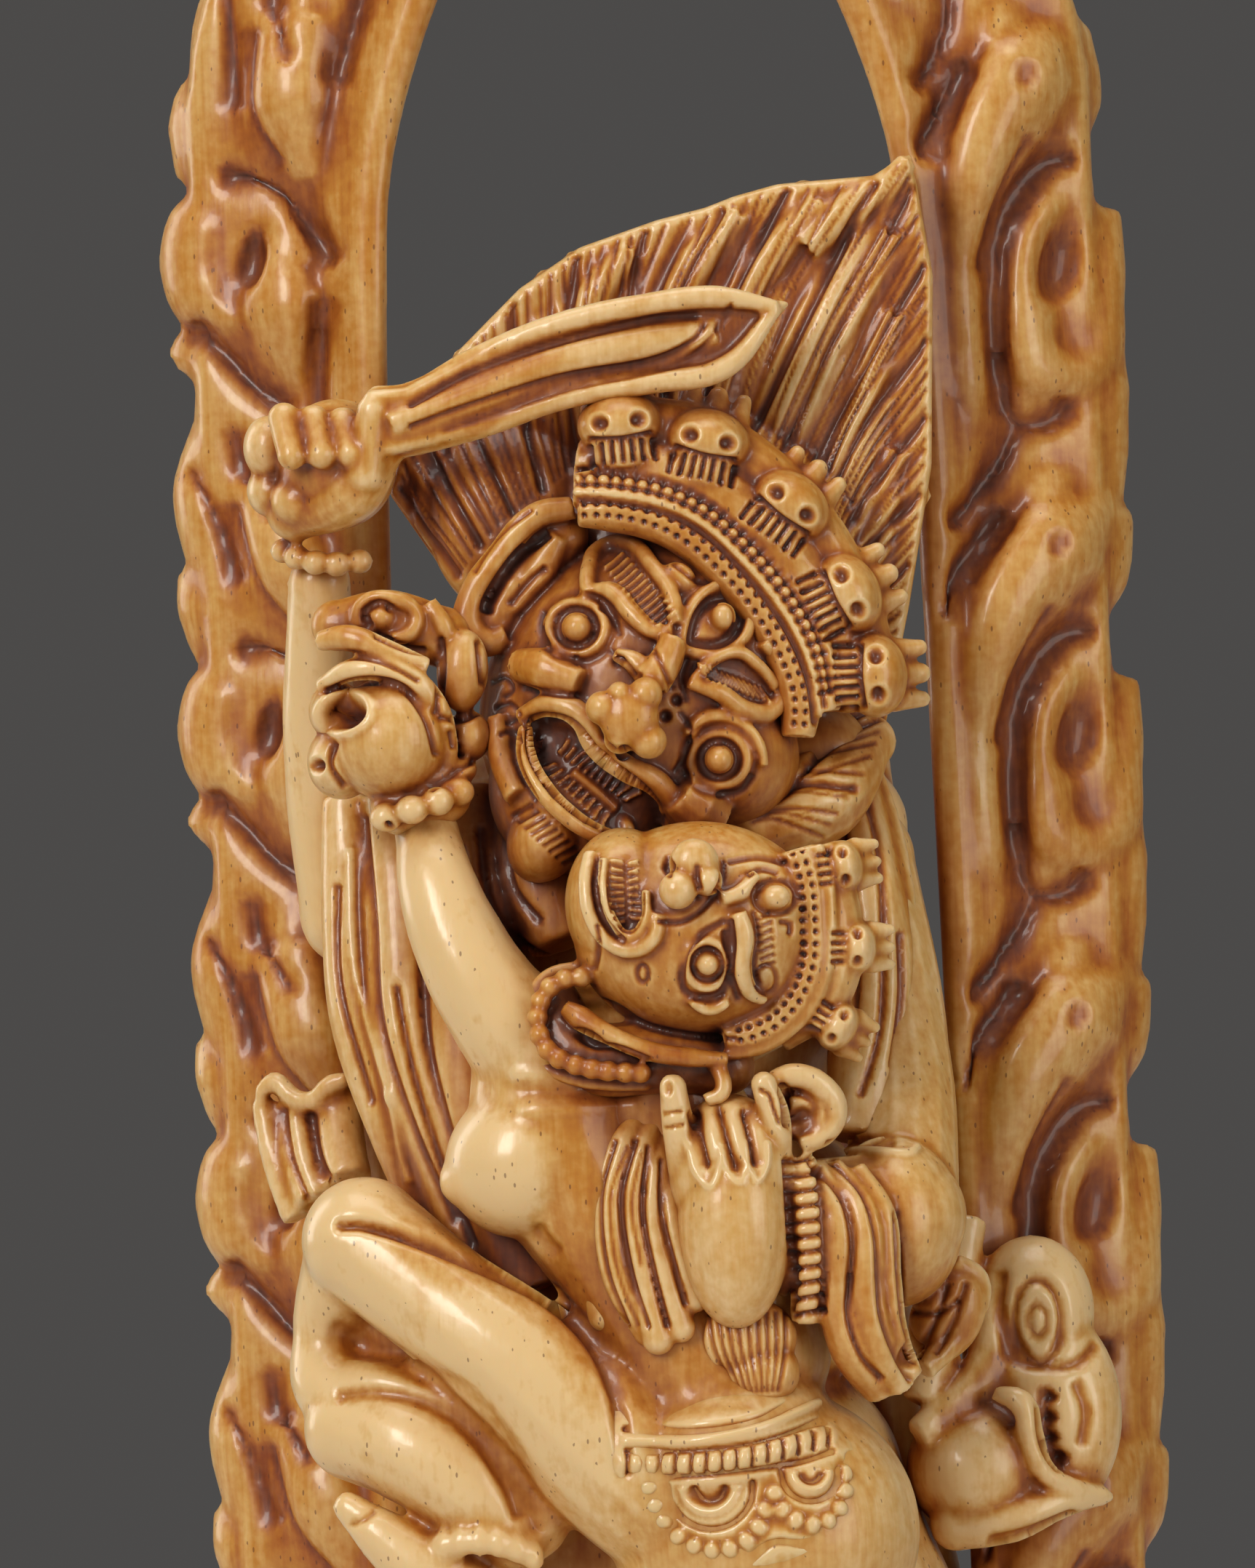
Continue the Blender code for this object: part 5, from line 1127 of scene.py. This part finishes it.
graver.hollow((12.9, 61.6), (0.6, 0.7), 0.6, 0.4)
graver.wash((10.2, 66.0), (3.2, 8.5), 0.2)
graver.finish(tone=0.17, hollows=0.9)
place_piece(hand, worn_bone)


# The scarf ends and the fluted pouch that hang in front of the consort's waist, below the
# deity's raised hand.
clay = Clay()
for points, widths in (([(-1.2, -15.0, 76.6), (-3.2, -16.2, 74.2), (-4.0, -16.6, 70.6),
                         (-3.7, -16.6, 66.8), (-2.2, -16.6, 63.6)], [0.6, 1.0, 1.1, 1.0, 0.85]),
                       ([(-0.9, -15.4, 76.2), (-2.2, -16.6, 73.6), (-2.7, -17.0, 70.2),
                         (-2.2, -17.2, 66.6), (-1.6, -17.2, 63.2)], [0.6, 0.9, 0.85, 0.85, 0.95]),
                       ([(-0.6, -15.6, 75.4), (-1.4, -16.8, 72.6), (-1.6, -17.2, 69.4),
                         (-0.9, -17.4, 66.2), (-0.3, -17.2, 63.8)], [0.5, 0.8, 0.8, 0.85, 0.9]),
                       ([(-0.4, -16.0, 74.0), (-0.6, -17.0, 71.0), (-0.2, -17.4, 68.0),
                         (0.6, -17.2, 65.4)], [0.5, 0.7, 0.8, 0.8]),
                       ([(-3.0, -14.0, 76.4), (-4.9, -14.6, 73.0), (-5.4, -14.8, 69.0),
                         (-4.6, -15.0, 64.6)], [0.7, 1.1, 1.2, 1.0])):
    clay.limb(points, widths)
clay.lump((3.4, -15.9, 63.0), (3.0, 1.9, 2.4))
clay.lump((4.2, -15.9, 60.9), (2.3, 2.0, 2.1), (0.0, -16.0, 0.0))
clay.limb([(-2.6, -14.6, 70.0), (-1.6, -14.8, 64.0)], [1.8, 1.6])
scarf = clay.knead("scarf_ends_and_pouch", grain=0.16)
graver = Graver(scarf)
for fold in range(9):
    x = 1.3 + fold * 0.56
    graver.line([(x, 64.6), (x * 0.92 + 0.4, 62.4), (2.7 + (x - 1.3) * 0.55, 59.8)], 0.16, 0.14, 0.12)
graver.line([(1.0, 64.4), (0.75, 62.8), (1.4, 61.2), (2.6, 60.1)], 0.3, 0.18, 0.22)
for points in ([(-3.6, 74.8), (-4.6, 71.4), (-4.4, 67.4), (-3.3, 63.8)],
               [(-2.4, 74.8), (-3.4, 71.4), (-3.1, 67.4), (-2.1, 63.8)],
               [(-1.7, 74.4), (-2.2, 70.6), (-1.7, 67.0), (-1.0, 63.8)],
               [(-1.0, 73.6), (-1.1, 70.4), (-0.5, 67.4), (0.1, 65.0)],
               [(-4.4, 74.4), (-5.3, 71.0), (-5.0, 67.0), (-4.0, 64.0)]):
    graver.line(points, 0.25, 0.16, 0.24)
for points in ([(-2.9, 74.4), (-4.0, 71.4), (-3.8, 67.4), (-2.7, 63.9)],
               [(-2.1, 74.0), (-2.8, 71.0), (-2.4, 67.4)]):
    graver.line(points, 0.1, 0.12, 0.12)
graver.finish(tone=0.28)
place_piece(scarf, worn_bone)


# The consort's belt, cut in low relief round the hips: a ridge, a row of block beads, and two
# hanging loops of beads round half moons.
clay = Clay()
clay.lump((4.2, -12.0, 51.6), (9.2, 7.9, 8.7))
clay.lump((2.2, -12.6, 56.4), (6.7, 7.3, 4.9))
clay.limb([(0.4, -12.6, 61.0), (2.4, -12.4, 56.0)], [4.8, 6.9])
clay.limb([(2.0, -12.4, 52.6), (-4.4, -13.4, 56.8)], [6.2, 5.2])
belt = clay.knead("consort_belt", grain=0.17, passes=10)
graver = Graver(belt)
graver.shift -= 1.0
graver.hollow((2.9, 55.0), (9.0, 6.4), -1.0, 0.0)
graver.line([(-3.6, 58.3), (0.0, 58.0), (4.0, 58.5), (7.5, 59.9)], 0.45, 0.2, 0.22, fade=0.0)
graver.line([(-3.6, 57.5), (0.0, 57.35), (4.0, 58.0), (7.7, 59.3)], -0.3, 0.3, -0.1, fade=0.0)
graver.line([(-3.6, 56.9), (0.0, 56.8), (4.0, 57.2), (7.8, 58.2)], 0.35, 0.16, 0.22, fade=0.0)
graver.line([(-3.6, 55.3), (0.0, 55.3), (4.0, 55.6), (6.4, 56.0), (8.2, 56.5)], 0.4, 0.17, 0.26, fade=0.0)
graver.line([(-3.6, 56.1), (0.0, 56.0), (4.0, 56.4), (8.0, 57.3)], -0.22, 0.5, -0.04, fade=0.0)
row = smooth_path([(-3.6, 56.1), (0.0, 56.0), (4.0, 56.4), (8.0, 57.3)], 0.05)
for gap in range(14):
    x, z = row[round(gap * (len(row) - 1) / 13)]
    graver.line([(x + 0.04, z + 0.62), (x - 0.04, z - 0.62)], 0.4, 0.13, 0.26, fade=0.3)
for centre, half, string, count in (((1.0, 54.8), 2.5,
                                     [(-2.5, 54.7), (-2.0, 53.1), (-1.2, 52.0), (0.1, 51.2), (1.4, 51.0),
                                      (2.6, 51.3), (3.6, 52.1), (4.2, 53.3)], 10),
                                    ((6.9, 55.4), 1.7,
                                     [(4.7, 54.2), (5.2, 53.1), (6.2, 52.5), (7.3, 52.3), (8.3, 52.8),
                                      (8.9, 53.9), (9.0, 55.2)], 8)):
    bowl = [(centre[0] + half * math.cos(a), centre[1] + half * math.sin(a))
            for a in np.linspace(math.pi, math.tau, 9)]
    graver.line(bowl, 0.4, 0.17, 0.26, fade=0.0)
    moon = [(centre[0] + half * 0.62 * math.cos(a), centre[1] + half * 0.62 * math.sin(a))
            for a in np.linspace(math.pi, math.tau, 9)]
    graver.line(moon, -0.28, 0.26, -0.14, fade=0.4)
    graver.line([(centre[0] + (x - centre[0]) * 0.6, centre[1] + (z - centre[1]) * 0.6) for x, z in moon],
                0.3, 0.26, 0.14)
    string = smooth_path(string, 0.05)
    for bead in range(count):
        graver.hollow(string[round(bead * (len(string) - 1) / (count - 1))], (0.5, 0.5), -0.4, -0.12)
    graver.line(string, 0.3, 0.8, 0.2, fade=0.0)
graver.line([(-3.5, 54.6), (-3.1, 52.4), (-2.0, 50.9), (-0.4, 50.1), (1.6, 49.9), (3.2, 50.5),
             (4.6, 51.4), (6.6, 51.2), (8.6, 51.5), (9.6, 52.8), (9.8, 54.4), (9.3, 56.2)], 0.35, 0.2,
            0.2, fade=0.0)
graver.finish(tone=0.16)
place_piece(belt, worn_bone)


# The scarves: a cloak in long soft folds behind each arm, and a waved edge of cloth over the
# raised knee.
clay = Clay()
for points, widths in (([(-18.6, -3.0, 95.0), (-18.4, -4.4, 88.0), (-18.0, -5.4, 82.0),
                         (-16.0, -6.4, 75.0), (-13.6, -7.4, 69.0)], [1.4, 1.9, 2.0, 1.8, 1.6]),
                       ([(-16.0, -4.0, 95.0), (-15.4, -6.0, 88.0), (-15.0, -7.0, 81.0),
                         (-13.4, -8.0, 74.0), (-11.4, -8.6, 67.0)], [1.6, 2.4, 2.6, 2.3, 2.0]),
                       ([(-11.4, -5.0, 95.0), (-11.0, -7.4, 88.0), (-12.0, -8.4, 80.0),
                         (-10.8, -9.0, 72.0), (-8.6, -9.6, 66.0)], [2.0, 2.6, 2.6, 2.6, 2.4]),
                       ([(-8.0, -6.0, 95.0), (-7.4, -8.0, 90.0), (-6.0, -9.0, 86.0)], [2.2, 2.6, 2.2]),
                       ([(10.6, -2.0, 97.0), (11.4, -4.2, 90.0), (11.8, -5.4, 84.0), (11.2, -6.6, 79.0),
                         (10.4, -8.0, 74.0)], [1.4, 2.0, 2.4, 2.4, 2.0]),
                       ([(12.0, -1.2, 96.6), (13.2, -3.0, 91.0), (13.8, -4.4, 84.0), (13.6, -5.6, 79.0),
                         (12.6, -7.0, 75.4)], [0.5, 0.8, 0.85, 0.9, 0.9]),
                       ([(-24.4, -0.2, 77.6), (-23.4, -0.6, 78.5), (-22.4, -1.2, 77.6),
                         (-21.2, -1.8, 77.3), (-20.2, -2.4, 78.2), (-19.0, -2.8, 78.6)],
                        [0.5, 0.6, 0.6, 0.6, 0.6, 0.5]),
                       ([(-24.2, 0.2, 77.4), (-23.6, -0.6, 74.0), (-22.4, -1.6, 70.4)], [0.7, 0.8, 0.9]),
                       ([(-22.2, 0.2, 77.2), (-21.8, -1.2, 74.0), (-21.2, -2.4, 71.4)], [1.3, 1.3, 1.2]),
                       ([(-19.6, -0.6, 77.8), (-19.6, -2.0, 75.0), (-19.2, -3.4, 72.6)], [1.5, 1.4, 1.4])):
    clay.strand(points, widths)
clay.lump((8.6, -4.6, 96.0), (3.6, 3.0, 3.6))
cloth = clay.knead("scarves", grain=0.26, passes=8)
graver = Graver(cloth)
for points in ([(-17.6, 94.0), (-17.2, 88.0), (-17.0, 82.0), (-15.4, 76.0), (-13.0, 70.0)],
               [(-19.2, 90.0), (-19.3, 84.0), (-17.6, 77.0)],
               [(-16.0, 84.0), (-15.2, 79.0), (-13.6, 73.0), (-12.0, 68.6)],
               [(-14.4, 86.0), (-14.2, 80.0), (-12.6, 73.0)],
               [(-10.8, 93.0), (-10.4, 89.0), (-9.0, 86.4), (-7.0, 85.0)],
               [(-9.4, 93.0), (-9.0, 89.4), (-7.4, 87.2)],
               [(-12.0, 92.0), (-11.0, 87.4), (-9.2, 84.8), (-7.6, 83.8)],
               [(11.6, 94.4), (12.4, 90.0), (12.3, 84.0), (11.9, 80.0), (10.6, 76.4)],
               [(10.2, 92.0), (10.8, 86.0), (10.4, 80.0)], [(13.4, 86.0), (13.3, 82.0), (12.6, 78.0)],
               [(-23.0, 77.0), (-22.6, 74.0), (-21.6, 71.4)],
               [(-21.4, 76.6), (-21.0, 74.0), (-20.2, 72.4)]):
    graver.line(points, 0.35, 0.24, 0.16)
for points in ([(-18.4, 92.0), (-18.3, 85.0), (-16.4, 77.0)], [(-16.6, 78.0), (-16.0, 74.0), (-15.6, 72.4)]):
    graver.line(points, -0.2, 0.25, -0.06)
graver.wash((-8.0, 89.0), (4.0, 6.0), 0.16)
graver.wash((-8.0, 68.0), (4.0, 4.0), 0.25)
graver.finish(tone=0.31, hollows=0.9)
place_piece(cloth, worn_bone)


# The beast's head that grows out of the right band beside the hips: a smooth muzzle, a rough
# eye, and a looped brow above.
clay = Clay()
clay.lump((16.6, -0.8, 54.4), (4.0, 4.2, 4.0), (0.0, 20.0, 0.0))
clay.lump((20.8, 0.6, 57.4), (4.6, 3.4, 6.4))
clay.lump((20.4, 0.6, 63.4), (3.6, 3.0, 4.4))
clay.limb([(15.4, -2.4, 51.2), (18.6, -3.0, 51.4), (21.4, -2.4, 52.2), (24.2, -0.8, 52.4)],
          [1.6, 1.4, 1.0, 0.5])
for points, widths in (([(17.8, -3.6, 58.8), (19.4, -4.0, 58.2), (19.9, -4.0, 56.2), (20.6, -3.6, 54.2),
                         (22.4, -2.4, 53.0), (24.2, -1.0, 52.5)], [0.5, 0.8, 0.8, 0.7, 0.6, 0.4]),
                       ([(13.2, -3.6, 56.6), (15.2, -2.6, 58.0), (17.4, -1.4, 60.2), (18.2, -0.6, 63.6)],
                        [0.9, 1.2, 1.3, 1.2]),
                       ([(16.8, 0.4, 69.0), (15.6, -0.6, 64.0), (13.6, -2.6, 58.4)], [1.2, 1.2, 1.2])):
    clay.strand(points, widths)
beast = clay.knead("beast_head", grain=0.3)
graver = Graver(beast)
for x, z, size in ((21.2, 58.4, 0.4), (21.1, 57.2, 0.45), (21.2, 56.0, 0.4), (21.6, 54.8, 0.45)):
    graver.hollow((x, z), (size, size * 0.8), 0.5, 0.3)
graver.line([(20.9, 59.2), (20.7, 57.4), (20.9, 55.6), (22.0, 54.2)], 0.5, 0.5, 0.2)
graver.line([(22.6, 59.4), (23.2, 57.4), (22.8, 55.4)], 0.3, 0.4, 0.16)
for size, depth in ((0.55, 0.35), (1.4, 0.4)):
    graver.line(loop((20.6, 62.9), size, size * 1.7) + [(20.6 + size, 62.9)], depth, 0.3, 0.12, fade=0.0)
graver.line([(18.6, 66.0), (18.5, 63.0), (19.4, 60.6), (22.4, 60.2), (24.2, 61.4)], 0.4, 0.4, 0.12)
graver.line([(14.2, 57.0), (16.4, 58.6), (18.4, 61.6)], 0.2, 0.9, 0.25)
graver.line([(17.0, 50.0), (20.0, 50.6), (22.6, 51.4)], 0.5, 0.5, 0.3)
graver.finish(tone=0.2, hollows=0.8)
place_piece(beast, worn_bone)


# The floor: a plain pale disc, too low and too small to show behind the statue.
bpy.ops.object.select_all(action="DESELECT")
bpy.ops.mesh.primitive_circle_add(vertices=96, radius=0.42, fill_type="NGON", location=(0.0, 0.0, 0.0))
floor = bpy.context.active_object
floor.name = "floor"
pale = bpy.data.materials.new("pale_floor")
pale.use_nodes = True
pale.node_tree.nodes["Principled BSDF"].inputs["Base Color"].default_value = (0.62, 0.60, 0.57, 1.0)
pale.node_tree.nodes["Principled BSDF"].inputs["Roughness"].default_value = 0.7
floor.data.materials.append(pale)


# The light: a large soft window at the upper left in front, a weaker one at the right, one
# overhead and one behind at the left, in a plain grey room.
def soft_light(name, place, target, size, power, colour):
    lamp = bpy.data.lights.new(name, "AREA")
    lamp.shape = "RECTANGLE"
    lamp.size, lamp.size_y = size
    lamp.energy = power
    lamp.color = colour
    holder = bpy.data.objects.new(name, lamp)
    holder.location = place
    away = holder.location - holder.location.__class__(target)
    holder.rotation_euler = away.to_track_quat("Z", "Y").to_euler()
    bpy.context.scene.collection.objects.link(holder)


soft_light("window_left", (-0.42, -0.62, 0.46), (0.0, 0.0, 0.09), (0.24, 0.44), 4.2, (1.0, 0.97, 0.93))
soft_light("window_right", (0.55, -0.45, 0.20), (0.0, 0.0, 0.09), (0.30, 0.50), 1.6, (1.0, 0.96, 0.90))
soft_light("overhead", (0.0, -0.10, 0.75), (0.0, 0.0, 0.09), (0.50, 0.40), 1.8, (1.0, 0.98, 0.96))
soft_light("behind_left", (-0.50, 0.25, 0.30), (0.0, 0.0, 0.09), (0.20, 0.50), 1.0, (1.0, 0.98, 0.95))

room = bpy.data.worlds.new("room")
bpy.context.scene.world = room
room.use_nodes = True
paper = room.node_tree.nodes["Background"]
fill = room.node_tree.nodes.new("ShaderNodeBackground")
seen = room.node_tree.nodes.new("ShaderNodeLightPath")
blend = room.node_tree.nodes.new("ShaderNodeMixShader")
paper.inputs["Color"].default_value = (0.072, 0.069, 0.067, 1.0)
fill.inputs["Color"].default_value = (0.12, 0.118, 0.114, 1.0)
room.node_tree.links.new(seen.outputs["Is Camera Ray"], blend.inputs["Fac"])
room.node_tree.links.new(fill.outputs["Background"], blend.inputs[1])
room.node_tree.links.new(paper.outputs["Background"], blend.inputs[2])
room.node_tree.links.new(blend.outputs["Shader"], room.node_tree.nodes["World Output"].inputs["Surface"])
bpy.context.scene.view_settings.view_transform = "Standard"


# The camera: level, straight in front, rolled a little, with only the middle of the statue
# in its frame.
FIGURE_DISTANCE = 900.0
FIGURE_FRONT = 8.0
HEIGHT_IN_PICTURE = 90.9
PICTURE_MIDDLE = (-2.13, 95.08)
CAMERA_ROLL = 2.2
eye = bpy.data.cameras.new("camera")
eye.sensor_fit = "VERTICAL"
eye.sensor_height = 36.0
eye.lens = eye.sensor_height * FIGURE_DISTANCE / HEIGHT_IN_PICTURE
camera = bpy.data.objects.new("camera", eye)
camera.location = (PICTURE_MIDDLE[0] * MM, -(FIGURE_DISTANCE + FIGURE_FRONT) * MM, PICTURE_MIDDLE[1] * MM)
camera.rotation_euler = (math.radians(90.0), math.radians(CAMERA_ROLL), 0.0)
bpy.context.scene.collection.objects.link(camera)
bpy.context.scene.camera = camera
